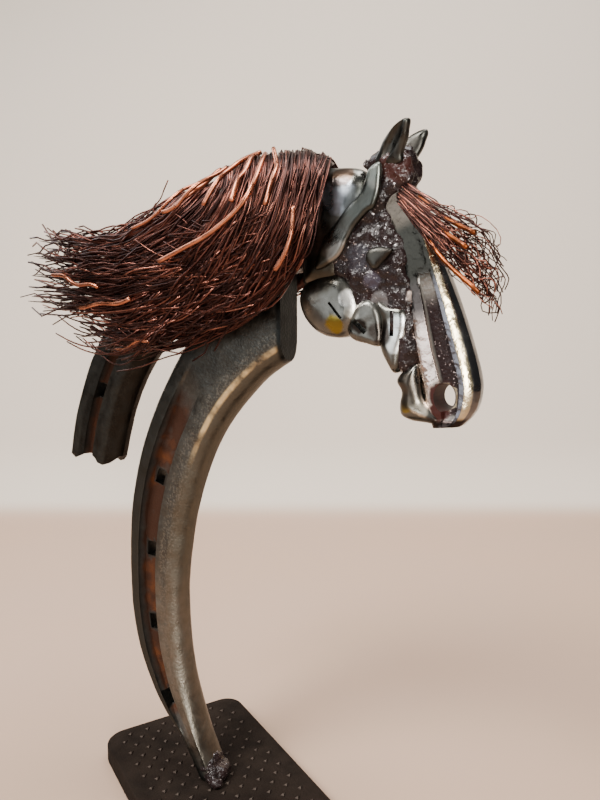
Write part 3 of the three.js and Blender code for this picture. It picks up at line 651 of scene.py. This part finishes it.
class Paint:
    """Builds one material: a Principled surface and what feeds it."""

    def __init__(self, name, color, roughness, metallic=1.0, specular=0.5):
        self.material = bpy.data.materials.new(name)
        self.material.use_nodes = True
        self.material.diffuse_color = (*color, 1)
        self.tree = self.material.node_tree
        self.link = self.tree.links.new
        self.surface = self.tree.nodes["Principled BSDF"]
        for socket, value in (("Base Color", (*color, 1)), ("Roughness", roughness), ("Metallic", metallic),
                              ("Specular IOR Level", specular)):
            self.surface.inputs[socket].default_value = value
        self.place = new_node(self.tree, "TexCoord").outputs["Object"]
        self.color = None

    def group(self, tree, values):
        """What a node group gives at the object's own place."""
        made = new_node(self.tree, "Group")
        made.node_tree = tree
        for socket, value in values.items():
            made.inputs[socket].default_value = value
        self.link(self.place, made.inputs["Vector"])
        return made.outputs[0]

    def uneven(self, scale, low, high, detail=3):
        """Noise between two values."""
        return self.group(uneven_group(), {"Scale": scale, "Detail": detail, "Low": low, "High": high})

    def patch(self, x, z, y, radius, amount=1.0):
        """A patch at a place on the head."""
        centre = head_row([(x, z, y)])[0]
        return self.group(patch_group(), {"Centre": centre, "Radius": radius * MM, "Amount": amount})

    def patches(self, rows, y):
        """Lays rows of patches over what is there, all at the depth y in millimetres."""
        for x, z, radius, amount, color in rows:
            self.mix(self.patch(x, z, y, radius, amount), color)

    def mix(self, mask, color):
        """Lays a colour over what is there, where the mask says."""
        made = new_node(self.tree, "Mix")
        made.data_type = "RGBA"
        made.clamp_factor = True
        made.inputs["A"].default_value = self.surface.inputs["Base Color"].default_value
        made.inputs["B"].default_value = (*color, 1)
        if self.color is not None:
            self.link(self.color, made.inputs["A"])
        self.link(mask, made.inputs["Factor"])
        self.color = made.outputs["Result"]
        self.link(self.color, self.surface.inputs["Base Color"])

    def rough(self, value):
        self.link(value, self.surface.inputs["Roughness"])

    def metallic(self, value):
        self.link(value, self.surface.inputs["Metallic"])

    def bump(self, height, strength, distance):
        made = new_node(self.tree, "Bump", {"Strength": strength, "Distance": distance * MM})
        self.link(height, made.inputs["Height"])
        self.link(made.outputs["Normal"], self.surface.inputs["Normal"])

    def math(self, operation, *values):
        """One operation on numbers and sockets."""
        made = new_node(self.tree, "Math")
        made.operation = operation
        for socket, value in zip(made.inputs, values):
            if isinstance(value, (int, float)):
                socket.default_value = value
            else:
                self.link(value, socket)
        return made.outputs[0]

    def times(self, a, b):
        return self.math("MULTIPLY", a, b)

    def mark(self):
        """The shares that the mesh carries: across, along and down in the crease."""
        given = new_node(self.tree, "Attribute")
        given.attribute_name = "mark"
        split = new_node(self.tree, "SeparateXYZ")
        self.link(given.outputs["Vector"], split.inputs[0])
        return split.outputs

    def height(self):
        """Metres above the table."""
        split = new_node(self.tree, "SeparateXYZ")
        self.link(self.place, split.inputs[0])
        return split.outputs["Z"]

    def band(self, value, low, high, soft):
        """1 between two values, fading over `soft`."""
        sides = []
        for none, full in ((low - soft, low), (high + soft, high)):
            slope = new_node(self.tree, "MapRange", {"From Min": none, "From Max": full})
            slope.interpolation_type = "SMOOTHSTEP"
            self.link(value, slope.inputs["Value"])
            sides.append(slope.outputs["Result"])
        return self.times(*sides)


def shoe_paint(name, rim, brightening, shade):
    """Steel of a shoe: worn dark, rust in its crease, `rim` the colour of its ground inner edge,
    the next argument how much its inner face is mottled lighter and its rim given painted glints and a
    painted highlight, and `shade` how light its face is painted: below 1 it is painted shade."""
    # Face colours scaled by `shade`: below 1 they are painted darker, as shade.
    def grey(*color):
        return tuple(shade * c for c in color)

    p = Paint(name, grey(0.062, 0.062, 0.056), 0.4, specular=0.15)
    across, along, crease = p.mark()
    p.mix(p.uneven(90, 0, 0.75), grey(0.1, 0.1, 0.09))
    p.mix(p.uneven(900, 0, 0.5, 2), grey(0.04, 0.036, 0.031))
    p.mix(p.band(across, -1, 0.17, 0.06), (0.04, 0.04, 0.036))
    p.mix(p.band(across, 0.8, 1.1, 0.05), rim)
    # Lighter mottling on the inner half towards the heel end.
    heel_mottle = p.times(p.band(along, -1, 0.3, 0.25), p.band(across, 0.5, 2, 0.2))
    p.mix(p.times(heel_mottle, p.uneven(400, 0.2 * brightening, 0.6 * brightening)), (0.2, 0.175, 0.145))
    # Grain on the rim's land, with painted glints: light specks along it.
    grain_and_glints = p.times(p.band(across, 0.66, 0.84, 0.06), p.uneven(1800, -0.5, 0.8, 2))
    p.mix(p.times(grain_and_glints, brightening), (0.17, 0.16, 0.135))
    # Painted highlight: a narrow bright cream streak along the rim's upper part.
    edge = p.times(p.band(across, 0.815, 0.845, 0.03), p.band(along, 0.78, 0.94, 0.12))
    p.mix(p.times(p.times(edge, brightening), p.uneven(250, -0.1, 1.2)), (0.75, 0.6, 0.34))
    p.mix(p.band(along, 0.995, 2, 0.01), (0.024, 0.026, 0.025))
    rust = p.times(crease, p.uneven(260, 0.8, 1.4, 4))
    p.mix(rust, (0.026, 0.0095, 0.0045))
    p.mix(p.times(rust, p.uneven(150, -0.9, 0.7)), (0.08, 0.024, 0.007))
    p.metallic(p.math("MULTIPLY_ADD", rust, -0.9, 1.0))
    p.rough(p.math("MULTIPLY_ADD", rust, 0.35, p.uneven(300, 0.3, 0.5)))
    p.bump(p.uneven(1500, 0, 1, 2), 0.25, 0.12)
    return p.material


def polished_paint():
    """Ground steel of the head: grey, with brown and yellow heat tints, blue-white and white painted
    highlights, and patches of painted shade.
    """
    p = Paint("polished_steel", (0.18, 0.178, 0.162), 0.3)
    p.mix(p.uneven(130, 0, 1), (0.09, 0.087, 0.076))
    p.patches(POLISH_TINTS_AND_LIGHT, -5)
    p.rough(p.uneven(200, 0.22, 0.42))
    p.bump(p.uneven(520, 0, 1, 2), 0.12, 0.3)
    return p.material


def ear_paint():
    """The darker steel of the ears and eyes."""
    p = Paint("ear_steel", (0.07, 0.07, 0.062), 0.36)
    p.mix(p.uneven(260, 0, 0.8), (0.03, 0.026, 0.023))
    p.rough(p.uneven(500, 0.26, 0.5))
    return p.material


def face_paint():
    """The face bar: ground strips beside the crease, painted bright, partly their own colour and partly
    painted highlights; a bluish painted reflection, a dark brow, painted glints in the crease and red round
    the nostril.
    """
    p = Paint("face_steel", (0.44, 0.42, 0.38), 0.18, specular=0.2)
    across, along, crease = p.mark()
    outer_strip, inner_strip = p.band(across, 0.11, 0.24, 0.02), p.band(across, 0.67, 1.2, 0.02)
    p.mix(p.band(across, -1, 0.08, 0.03), (0.2, 0.19, 0.185))
    # The outer strip: ground steel painted bright cream and mottled, partly its own colour and partly a
    # painted highlight.
    p.mix(outer_strip, (0.62, 0.52, 0.34))
    p.mix(p.times(outer_strip, p.uneven(240, -0.4, 0.7)), (0.36, 0.28, 0.16))
    # A bluish painted reflection along the strip's inner side.
    p.mix(p.band(across, 0.25, 0.33, 0.02), (0.16, 0.155, 0.17))
    p.mix(inner_strip, (0.07, 0.06, 0.056))
    # Lower down, the inner strip is ground steel painted pinkish cream: partly its own colour, partly a
    # painted highlight.
    ground = p.times(inner_strip, p.band(along, 0.6, 2, 0.12))
    p.mix(p.times(ground, p.uneven(330, 0.7, 1.3)), (0.8, 0.64, 0.56))
    p.mix(p.times(p.band(along, -1, 0.33, 0.1), p.band(across, 0.25, 2, 0.04)), (0.034, 0.033, 0.028))
    p.mix(p.band(along, -1, 0.1, 0.06), (0.12, 0.1, 0.08))
    p.mix(p.band(along, 0.97, 2, 0.025), (0.03, 0.022, 0.02))
    p.mix(crease, (0.012, 0.006, 0.006))
    # Painted glints: bright specks of highlight in the weld that fills the crease.
    p.mix(p.times(crease, p.uneven(2100, -9, 0.8, 2)), (0.42, 0.34, 0.33))
    nostril = p.math("MAXIMUM", p.patch(21.6, -73.6, -3, 2.5), p.patch(20.8, -78.4, -3, 1.9))
    p.mix(nostril, NOSTRIL_RED)
    dull = p.math("MAXIMUM", crease, nostril)
    p.metallic(p.math("MULTIPLY_ADD", dull, -1, 1.0))
    p.rough(p.math("MULTIPLY_ADD", dull, 0.2, p.uneven(200, 0.14, 0.28)))
    grains = p.times(crease, p.uneven(1300, 0, 1))
    p.bump(p.math("MULTIPLY_ADD", grains, 5, p.uneven(520, 0, 1, 2)), 0.2, 0.3)
    return p.material


def nostril_paint():
    """The red wall of the nostril's hole."""
    p = Paint("nostril", NOSTRIL_RED, 0.6, 0)
    p.mix(p.uneven(700, 0, 0.8), (0.014, 0.006, 0.005))
    return p.material


def weld_paint():
    """Dark weld with bright specks, shared by all welds."""
    name = "weld_metal"
    if name in bpy.data.materials:
        return bpy.data.materials[name]
    p = Paint(name, (0.018, 0.01, 0.0095), 0.3, 0, 0.25)
    p.mix(p.uneven(300, 0, 0.8), (0.007, 0.005, 0.005))
    p.patches(WELD_TINTS_AND_HIGHLIGHT, -4.3)
    glint = p.uneven(1900, -9, 0.8, 2)
    p.mix(glint, (0.4, 0.36, 0.36))
    p.metallic(p.math("MAXIMUM", glint, 0))
    p.rough(p.uneven(700, 0.1, 0.36))
    p.bump(p.uneven(1300, 0, 1), 0.25, 0.4)
    return p.material


def rasp_paint():
    """The rasp's dull dark steel, with the tips of its teeth painted lighter as lit from above."""
    p = Paint("rasp_steel", (0.015, 0.0105, 0.008), 0.6, 0, 0.04)
    p.mix(p.uneven(160, 0, 0.9), (0.007, 0.005, 0.004))
    p.mix(p.uneven(60, -0.3, 0.6), (0.016, 0.011, 0.0085))
    # Painted light: the teeth's tips, above the plate's top, are painted lighter where light falls on them.
    p.mix(p.band(p.height(), sizes().plate_thickness + 0.3 * MM, 1, 0.2 * MM), (0.06, 0.046, 0.038))
    p.rough(p.uneven(400, 0.85, 1))
    p.bump(p.uneven(1200, 0, 1, 2), 0.3, 0.2)
    return p.material


def wire_paint(name, color, roughness, dark):
    """Copper wire, mottled with a darker colour."""
    p = Paint(name, color, roughness, 0.95)
    p.mix(p.uneven(190, 0, 0.9), dark)
    p.rough(p.uneven(700, roughness - 0.06, roughness + 0.14))
    return p.material


def backdrop_paint():
    """The table's colour, running into the wall's above it."""
    p = Paint("backdrop", (0.38, 0.255, 0.18), 0.8, 0)
    p.mix(p.uneven(9, 0, 0.7), (0.37, 0.255, 0.19))
    p.mix(p.band(p.height(), 0.009, 10, 0.008), (0.5, 0.43, 0.36))
    return p.material


class HORSE_OT_base(bpy.types.Operator):
    """Builds the rasp plate with its teeth, and the weld at the neck's foot"""
    bl_idname = "horse.base"
    bl_label = "Base"

    def execute(self, context):
        s = context.scene.horse_sizes
        half_x, half_y = s.plate_length / 2, s.plate_width / 2
        bm = bmesh.new()
        corners = [(1, 1, 5.5), (-1, 1, 5.5), (-1, -1, 6.5), (1, -1, 5.5)]
        verts = []
        for index, (sx, sy, radius) in enumerate(corners):
            for step in range(CORNER_STEPS + 1):
                angle = (index + step / CORNER_STEPS) * math.pi / 2
                verts.append(bm.verts.new((sx * (half_x - radius * MM) + math.cos(angle) * radius * MM,
                                           sy * (half_y - radius * MM) + math.sin(angle) * radius * MM, 0)))
        grown = bmesh.ops.extrude_face_region(bm, geom=[bm.faces.new(verts)])
        moved = [v for v in grown["geom"] if isinstance(v, bmesh.types.BMVert)]
        bmesh.ops.translate(bm, vec=(0, 0, s.plate_thickness), verts=moved)
        edges = [e for e in bm.edges if abs(e.verts[0].co.z - e.verts[1].co.z) < 1e-9]
        bmesh.ops.bevel(bm, geom=edges, offset=0.6 * MM, segments=3, affect="EDGES", profile=0.5)
        step_x, step_y, margin, corner, border = 3 * MM, 5.4 * MM, 3.4 * MM, 5 * MM, 3 * MM
        rows = int((s.plate_length - 2 * margin) / step_x)
        per_row = int((s.plate_width - 2 * margin) / step_y)
        dice = random.Random(5)
        for row in range(rows + 1):
            x = -half_x + margin + row * step_x
            for place in range(per_row + 1):
                y = (place - per_row / 2) * step_y + (row % 2) * step_y / 2 - step_y / 4
                in_corner = abs(x) > half_x - corner and abs(y) > half_y - corner
                if in_corner or abs(y) > half_y - border:
                    continue
                tall = 0.8 * MM * dice.uniform(0.85, 1)
                shape = (Matrix.Translation((x, y, s.plate_thickness))
                         @ Matrix.Rotation(math.pi / 6, 4, "Z") @ Matrix.Diagonal((0.75, 1.2, 1, 1)))
                tooth = bmesh.ops.create_cone(bm, cap_ends=True, segments=3, radius1=2.2 * MM, radius2=0,
                                              depth=2 * tall, matrix=shape)
                for v in tooth["verts"]:
                    if v.co.z > s.plate_thickness + 0.5 * tall:
                        v.co.x += 0.9 * MM
        bmesh.ops.rotate(bm, verts=bm.verts, cent=(0, 0, 0), matrix=Matrix.Rotation(s.plate_yaw, 3, "Z"))
        obj = new_object("base_plate", mesh_from(bm, "base_plate"), [rasp_paint()])
        keep(obj, ["rasp_plate"], 30)
        base = foot()
        balls = [((base.x + 0.6 * MM, base.y, base.z + 1.4 * MM), (3.4, 4.6, 2.8)),
                 ((base.x - 1.5 * MM, base.y, base.z + 4 * MM), (2.6, 4.3, 2.2)),
                 ((base.x + 2.6 * MM, base.y - 3.6 * MM, base.z + 1 * MM), (1.8, 1.8, 1.6))]
        mesh = blob("heel_weld", balls, 0.3, [(2.4, 0.7), (0.9, 0.25)], base.z + 0.1 * MM)
        keep(new_object("heel_weld", mesh, [weld_paint()]), ["foot_weld"])
        return {"FINISHED"}


class HORSE_OT_shoes(bpy.types.Operator):
    """Builds the two horseshoe halves of the neck and crest"""
    bl_idname = "horse.shoes"
    bl_label = "Shoes"

    def execute(self, context):
        self.shoe("neck", "neck_shoe", NECK_OUTER, NECK_INNER, shoe_section(0.2, 0.36, 2.4, 0.2), 90,
                  lambda along: ease(along, 0.07, 0.17) * (1 - ease(along, 0.68, 0.8)), None,
                  shoe_paint("neck_steel", (0.1, 0.092, 0.074), 1, 1), (0.16, 0.3, 0.44, 0.58), 0.36)
        lobes = ([0, 0.045, 0.16, 0.32, 0.37, 0.42, 0.5, 0.59, 0.66, 0.76, 0.87, 0.95, 1],
                 [-2.4, -1.2, 0, -1.2, -2.6, -3, -2.6, -0.4, 0.8, 1.5, 0.9, -0.4, -2])
        # The crest's steel is a copy of the neck's with its face painted darker as shade, and with almost
        # no painted glints.
        self.shoe("crest", "crest_shoe", CREST_OUTER, CREST_INNER, shoe_section(0.32, 0.2, 2, 0.34), 80,
                  lambda along: 1 - ease(along, 0.85, 0.97), lobes,
                  shoe_paint("crest_steel", (0.014, 0.012, 0.01), 0.06, 0.42), (0.2, 0.42), 0.42)
        return {"FINISHED"}

    def shoe(self, name, node, outer, inner, section, steps, fade, ends, paint, nails, across):
        """One half shoe with its nail holes at shares along and across."""
        thickness = sizes().shoe_thickness
        outer, inner = neck_row(outer), neck_row(inner)
        mesh = branch_mesh(name, outer, inner, section, thickness, steps, fade, ROUGHNESS, ends)
        obj = new_object(name, mesh, [paint])
        subtract(obj, nail_cutters(outer, inner, nails, across, (4.2 * MM, 3 * thickness, 2.8 * MM)))
        bevel(obj, 0.35 * MM)
        keep(obj, [node], 50)


class HORSE_OT_head(bpy.types.Operator):
    """Builds the head's bars, bands, eyes, ears and the weld between them"""
    bl_idname = "horse.head"
    bl_label = "Head"

    def execute(self, context):
        shine = polished_paint()
        dark = ear_paint()
        mesh = branch_mesh("face", head_row(FACE_OUTER), head_row(FACE_INNER), FACE_SECTION, 6 * MM, 70,
                           lambda along: ease(along, 0.3, 0.5) * (1 - ease(along, 0.93, 0.99)),
                           0.1 * MM, web=12.4 * MM)
        face = new_object("face", mesh, [face_paint()])
        bm = bmesh.new()
        place = head_row([(22.2, -74)])[0]
        shape = (Matrix.Translation(place) @ Matrix.Rotation(-math.pi / 2, 4, "X")
                 @ Matrix.Diagonal((0.8, 1.1, 1, 1)))
        bmesh.ops.create_cone(bm, segments=20, radius1=2.9 * MM, radius2=2.1 * MM, depth=7 * MM,
                              cap_ends=True, matrix=shape)
        subtract(face, [new_object("cutter", mesh_from(bm, "cutter"), [nostril_paint()])])
        bevel(face, 0.25 * MM)
        keep(face, ["face_bar"], 50)

        ground = [(7, 0.4), (2.6, 0.1)]
        jaw = forged("jaw", JAW, 10, 0, 5.5, 0.4, relief=ground)
        collar = forged("collar", COLLAR, 9.4, 0, 5, 0.3, relief=ground)
        cheek = joined("cheek", [jaw, collar], [shine])
        self.slots(cheek, -16.6, -45.6, 5, (4.8 * MM, 3.4 * MM, 0.6 * MM), 0.86)
        keep(cheek, ["cheek_shoe"], 45)
        for name, outline, thickness, rounding, edge in [
                ("jaw_bridge", BRIDGE, 9, 1.6, 0.7), ("mandible", MANDIBLE, 9, 2.2, 0.5),
                ("chin", CHIN, 8, 3, 0.45)]:
            mesh = forged(name + "_metal", outline, thickness, 0, rounding, edge, 0.3, ground)
            obj = new_object(name + "_metal", mesh, [shine])
            if name == "mandible":
                subtract(obj, [block((0.9 * MM, 18 * MM, 5.4 * MM), 0, Vector(head_row([(4.4, -50)])[0]))])
            if name == "jaw_bridge":
                self.slots(obj, -7.4, -51, 4.5, (4 * MM, 3.6 * MM, 1.1 * MM), 0.75)
            keep(obj, [name], 45)
        for side, word in ((-1, "right"), (1, "left")):
            mesh = forged("band_" + word, BAND, 1.9, side * 4.75, 1.2, 0.3, 0.25, [(3, 0.12)])
            keep(new_object("band_" + word, mesh, [shine]), ["cheek_band_" + word])
            mesh = forged("eyeball_" + word, EYE, 2.2, side * 4.5, 1.4, 0.3, 0.2, [(2, 0.08)])
            keep(new_object("eyeball_" + word, mesh, [dark]), ["eye_" + word])
            self.ear(side, word, dark)
        dice = random.Random(11)
        lumps = [(3.4, 2.4, 0, 4.2), (5.6, -3.4, 0, 3.2), (-1, 4, 1, 2.4)]
        for _ in range(90):
            z = dice.uniform(-60, 5)
            edge = np.interp(-z, (0, 10, 18, 26, 40, 60), (6, -3, 1, 4.6, 7.2, 10))
            x = edge - dice.uniform(1, 16 if z > -42 else 5)
            lumps.append((x, z, dice.choice((-1, 1)) * dice.uniform(3, 3.7), dice.uniform(0.5, 1)))
        relief = [(3.4, 0.8), (1.4, 0.35), (0.8, 0.12)]
        weld = forged("face_weld", WELD, 8.2, 0, 2.6, 0.6, 0.4, relief, lumps)
        keep(new_object("face_weld", weld, [weld_paint()]), ["head_weld"])
        lower, upper = neck_row([(19.5, 101.6)])[0], neck_row([(20.4, 105)])[0]
        balls = [(lower, (3.4, 4.2, 3.2)), (upper, (2.8, 4.6, 4.2))]
        mesh = blob("neck_weld", balls, 0.35, [(2.4, 0.8), (1, 0.3)])
        keep(new_object("neck_weld", mesh, [weld_paint()]), ["throat_weld"])
        return {"FINISHED"}

    def slots(self, obj, x, z, y, size, turn):
        """The same slot in both sides of a piece."""
        place = Vector(head_row([(x, z)])[0])
        subtract(obj, [block(size, turn, place + Vector((0, side * y * MM, 0))) for side in (-1, 1)])

    def ear(self, side, word, paint):
        """A bent leaf, hollowed on its outer side and leaning outwards."""
        base = head_row([(1, 4)])[0]
        root = Matrix.Translation((base[0], base[1] + side * 3.3 * MM, base[2]))
        back = Matrix.Translation((-base[0], -base[1], -base[2]))
        lean = Matrix.Rotation(side * 0.16, 4, "Z") @ Matrix.Rotation(-side * 0.2, 4, "X")
        moved = root @ lean @ back
        mesh = forged("leaf_" + word, EAR, 2.4, 0, 1.6, 0.35, 0.22, [(2.4, 0.15)], turn=moved)
        obj = new_object("leaf_" + word, mesh, [paint])
        bm = bmesh.new()
        middle = Vector(head_row([(5, 9.6)])[0])
        shape = (moved @ Matrix.Translation(middle + Vector((0, side * 1.5 * MM, 0)))
                 @ Matrix.Rotation(0.62, 4, "Y") @ Matrix.Diagonal((1.5 * MM, 1.3 * MM, 5.2 * MM, 1)))
        bmesh.ops.create_icosphere(bm, subdivisions=3, radius=1, matrix=shape)
        subtract(obj, [new_object("cutter", mesh_from(bm, "cutter"), [])])
        keep(obj, ["ear_" + word])


class HORSE_OT_mane(bpy.types.Operator):
    """Builds the mane: locks of thin wire with thick bright wires over them"""
    bl_idname = "horse.mane"
    bl_label = "Mane"

    def execute(self, context):
        s = context.scene.horse_sizes
        dice = random.Random(42)
        thin, thick = [], []
        groups = [(LANES, 22, 19, False, 1), (SHORT_LANES, 16, 21, False, 0.5), (LANES, 10, 13, True, 1)]
        for lanes, count, wires, far_side, droop in groups:
            for k in range(count):
                share = k / (count - 1)
                self.lock(thin, dice, between(lanes, share), share, wires, far_side, droop)
        for path in THICK_WIRES:
            points = even_points(neck_row([(x, z, y - 0.3) for x, z, y in path]), 26)
            t = np.linspace(0, 1, 26)
            points[:, 2] += 0.5 * MM * np.sin(t * dice.uniform(7, 12) + dice.uniform(0, 6))
            radius = s.copper_radius
            thick.append((inside_box(points, radius), radius * dice.uniform(0.75, 1.1), 3))
        for _ in range(130):
            strand = even_points(neck_row(self.stray(dice)), 14)
            thin.append((inside_box(strand, s.wire_radius), s.wire_radius, dice.choice((0, 0, 0, 1, 1, 2))))
        for path in LOOSE_WIRES:
            thin.append((inside_box(even_points(neck_row(path), 20), s.wire_radius), s.wire_radius, 1))
        paints = hair_paints()
        meshes = [wire_mesh("thin", thin, 4, paints), wire_mesh("thick", thick, 8, paints)]
        obj = joined("mane_wires", meshes, paints)
        keep(obj, ["mane"])
        return {"FINISHED"}

    def stray(self, dice):
        """The path of a wire lying across the mane's near side, back from the crest."""
        x, share = dice.uniform(-8, 20), dice.uniform(0, 1)
        z = 88 + 0.42 * (x + 8) * (0.4 + share) + share * 7
        slope, bow, reach = dice.uniform(-0.1, 0.5), dice.uniform(-3, 0.6), dice.uniform(12, 24)
        return [(x - t * reach, z + bow * math.sin(t * math.pi) - slope * t * reach * (1 - t * 0.8),
                 -13.7 + 1.6 * t) for t in (0, 0.2, 0.4, 0.6, 0.8, 1)]

    def lock(self, thin, dice, lane, share, wires, far_side, droop):
        """One lock: a dark core and thin wires round it, from behind the crest over its top."""
        radius = sizes().wire_radius
        shift = dice.uniform(-1.2, 1.0)
        x, z, y = lane[0]
        over = [(x - 0.6, z - 2.2, y + 3.4)]
        rows = neck_row(over + [(x, z, y + shift * min(1, i)) for i, (x, z, y) in enumerate(lane)])
        lift = np.linspace(0, 1, 7)
        for axis in (0, 2):
            rows[:, axis] += dice.uniform(-2.6, 2.6) * MM * lift * droop
        if far_side:
            rows[:, 1] = 2 * foot().y - rows[:, 1]
            rows[:, 2] += 6 * MM * (1 - 2 * share) * np.minimum(1, lift * 1.6)
        core = even_points(rows, 14)
        core[:, 1] += (-1 if far_side else 1) * 1.2 * MM
        radii = np.interp(np.linspace(0, 1, 14), (0, 0.1, 0.55, 0.8, 1), (0.9, 1.6, 1.9, 0.5, 0.1)) * MM
        thin.append((inside_box(core, 2 * MM), radii, 0))
        phase = dice.uniform(-2.4, 2.4)
        for _ in range(wires):
            reach = dice.uniform(0.25, 1) ** 0.6
            spread = np.array((1.2, 2.5, 3.2, dice.uniform(2, 6))) * MM
            wander = dice.choice((0.4, 0.8, 1.2, 1.8, 2.8)) * dice.uniform(0.7, 1) * MM
            points = wire_run(rows, dice, 21, spread, reach, wander, phase + dice.uniform(-1, 1))
            index = dice.choice((0, 0, 0, 0, 1, 1, 1, 2))
            thick = radius * dice.uniform(0.75, 1.25)
            thin.append((inside_box(points, 2 * thick), thick, index))


class HORSE_OT_forelock(bpy.types.Operator):
    """Builds the forelock: a fan of thin wire and three thick rods"""
    bl_idname = "horse.forelock"
    bl_label = "Forelock"

    def execute(self, context):
        s = context.scene.horse_sizes
        dice = random.Random(8)
        thin, count, fine = [], 78, 34
        for k in range(count):
            rows = head_row(between(FORELOCK, k / (count - 1)))
            spread = np.array((0.7, 1.3, 1.4, dice.uniform(1, 2.2))) * MM
            reach, wander, phase = dice.uniform(0.66, 1), dice.uniform(0.2, 0.9) * MM, dice.uniform(-4, 4)
            points = wire_run(rows, dice, fine, spread, reach, wander, phase)
            t = np.linspace(0, 1, fine)
            curl = np.clip(t - 0.45, 0, 1) * 2 * dice.uniform(0.5, 1.5) * MM
            points[:, 0] += curl * np.sin(t * 30 + dice.uniform(0, 6))
            points[:, 2] += curl * np.cos(t * dice.uniform(22, 34) + dice.uniform(0, 6))
            radius = s.wire_radius * dice.uniform(0.45, 0.75)
            thin.append((inside_box(points, 2 * radius), radius, dice.choice((0, 0, 0, 1, 1, 2))))
        thick = [(even_points(head_row(path), 14), 0.5 * MM, 4) for path in RODS]
        paints = hair_paints()
        meshes = [wire_mesh("thin", thin, 4, paints), wire_mesh("thick", thick, 10, paints)]
        obj = joined("forelock_wires", meshes, paints)
        keep(obj, ["forelock"])
        return {"FINISHED"}


def hair_paints():
    """The five paints of the wires, shared by the mane and the forelock."""
    made = bpy.data.materials
    return [made[row[0]] if row[0] in made else wire_paint(*row) for row in [
        ("wire_dark", (0.062, 0.027, 0.022), 0.34, (0.024, 0.011, 0.01)),
        ("wire_brown", (0.16, 0.06, 0.045), 0.3, (0.055, 0.023, 0.018)),
        ("wire_red", (0.42, 0.165, 0.115), 0.28, (0.13, 0.05, 0.036)),
        ("wire_copper", (0.6, 0.22, 0.12), 0.26, (0.24, 0.08, 0.045)),
        ("rod_copper", (0.42, 0.11, 0.028), 0.32, (0.09, 0.028, 0.014))]]


class HORSE_OT_stage(bpy.types.Operator):
    """Builds the table, the wall behind it, the lights and the camera"""
    bl_idname = "horse.stage"
    bl_label = "Stage"

    def execute(self, context):
        scene = context.scene
        away = Vector((-math.sin(CAMERA_TURN), math.cos(CAMERA_TURN), 0))
        side = Vector((away.y, -away.x, 0))
        bm = bmesh.new()
        bend, radius, slope, half_width, wall = 0.262, 0.07, math.radians(68), 1.6, 1.1
        profile = [(-half_width, 0), (bend, 0)]
        for step in range(1, BEND_STEPS + 1):
            turn = slope * step / BEND_STEPS
            profile.append((bend + radius * math.sin(turn), radius * (1 - math.cos(turn))))
        far = profile[-1]
        profile.append((far[0] + math.cos(slope) * wall, far[1] + math.sin(slope) * wall))
        rings = []
        for depth, height in profile:
            spot = away * depth
            rings.append([bm.verts.new(spot + side * w + Vector((0, 0, height)))
                          for w in (-half_width, half_width)])
        for (a, b), (c, d) in zip(rings, rings[1:]):
            bm.faces.new((a, b, d, c))
        mesh = mesh_from(bm, "table")
        floor = new_object("table", mesh, [backdrop_paint()])
        mesh.shade_smooth()
        for name, place, aim, size, power, color, spread in [
                ("key", (-0.3, -0.55, 0.8), (-0.06, 0.1, 0.12), (0.4, 0.4), 4, (1, 0.97, 0.93), 80),
                ("window", (0.62, -0.72, 0.22), (0.03, 0, 0.12), (0.24, 0.5), 3.2, (1, 0.97, 0.92), 100),
                ("wall_wash", (0.15, 0.15, 1), (-0.12, 0.3, 0.1), (0.6, 0.6), 7.4, (1, 0.98, 0.96), 120),
                ("fill", (-0.32, -0.95, 0.16), (0, 0, 0.12), (0.5, 0.5), 0.7, (0.93, 0.97, 1), 100),
                ("back", (-0.6, 0.05, 0.55), (0, 0, 0.12), (0.3, 0.5), 1.2, (0.9, 0.95, 1), 120)]:
            data = bpy.data.lights.new(name, "AREA")
            data.shape = "RECTANGLE"
            data.size, data.size_y = size
            data.energy = power
            data.color = color
            data.spread = math.radians(spread)
            lamp = bpy.data.objects.new(name, data)
            lamp.location = place
            lamp.rotation_euler = (Vector(aim) - Vector(place)).to_track_quat("-Z", "Y").to_euler()
            scene.collection.objects.link(lamp)
        world = bpy.data.worlds.new("studio")
        world.use_nodes = True
        sky = world.node_tree.nodes["Background"]
        sky.inputs["Color"].default_value = (0.74, 0.76, 0.8, 1)
        sky.inputs["Strength"].default_value = 0.1
        scene.world = world
        data = bpy.data.cameras.new("camera")
        data.sensor_fit = "VERTICAL"
        data.sensor_height = 36
        data.lens = 31.05
        data.clip_start = 0.005
        camera = bpy.data.objects.new("camera", data)
        camera.location = (0.09103, -0.13342, 0.1355)
        camera.rotation_euler = (CAMERA_PITCH, 0, CAMERA_TURN)
        scene.collection.objects.link(camera)
        scene.camera = camera
        return {"FINISHED"}


class HORSE_PT_panel(bpy.types.Panel):
    bl_label = "Horse head"
    bl_idname = "HORSE_PT_panel"
    bl_space_type = "VIEW_3D"
    bl_region_type = "UI"
    bl_category = "Horse head"

    def draw(self, context):
        layout = self.layout
        for name in HORSE_PG_sizes.__annotations__:
            layout.prop(context.scene.horse_sizes, name)
        for operator in OPERATORS:
            layout.operator(operator.bl_idname)


OPERATORS = (HORSE_OT_base, HORSE_OT_shoes, HORSE_OT_head, HORSE_OT_mane, HORSE_OT_forelock,
             HORSE_OT_stage)
CLASSES = (HORSE_PG_sizes, *OPERATORS, HORSE_PT_panel)


def register():
    for cls in CLASSES:
        bpy.utils.register_class(cls)
    bpy.types.Scene.horse_sizes = bpy.props.PointerProperty(type=HORSE_PG_sizes)


def unregister():
    del bpy.types.Scene.horse_sizes
    for cls in reversed(CLASSES):
        bpy.utils.unregister_class(cls)


def main():
    register()
    bpy.ops.horse.base()
    bpy.ops.horse.shoes()
    bpy.ops.horse.head()
    bpy.ops.horse.mane()
    bpy.ops.horse.forelock()
    bpy.ops.horse.stage()


if __name__ == "__main__":
    main()
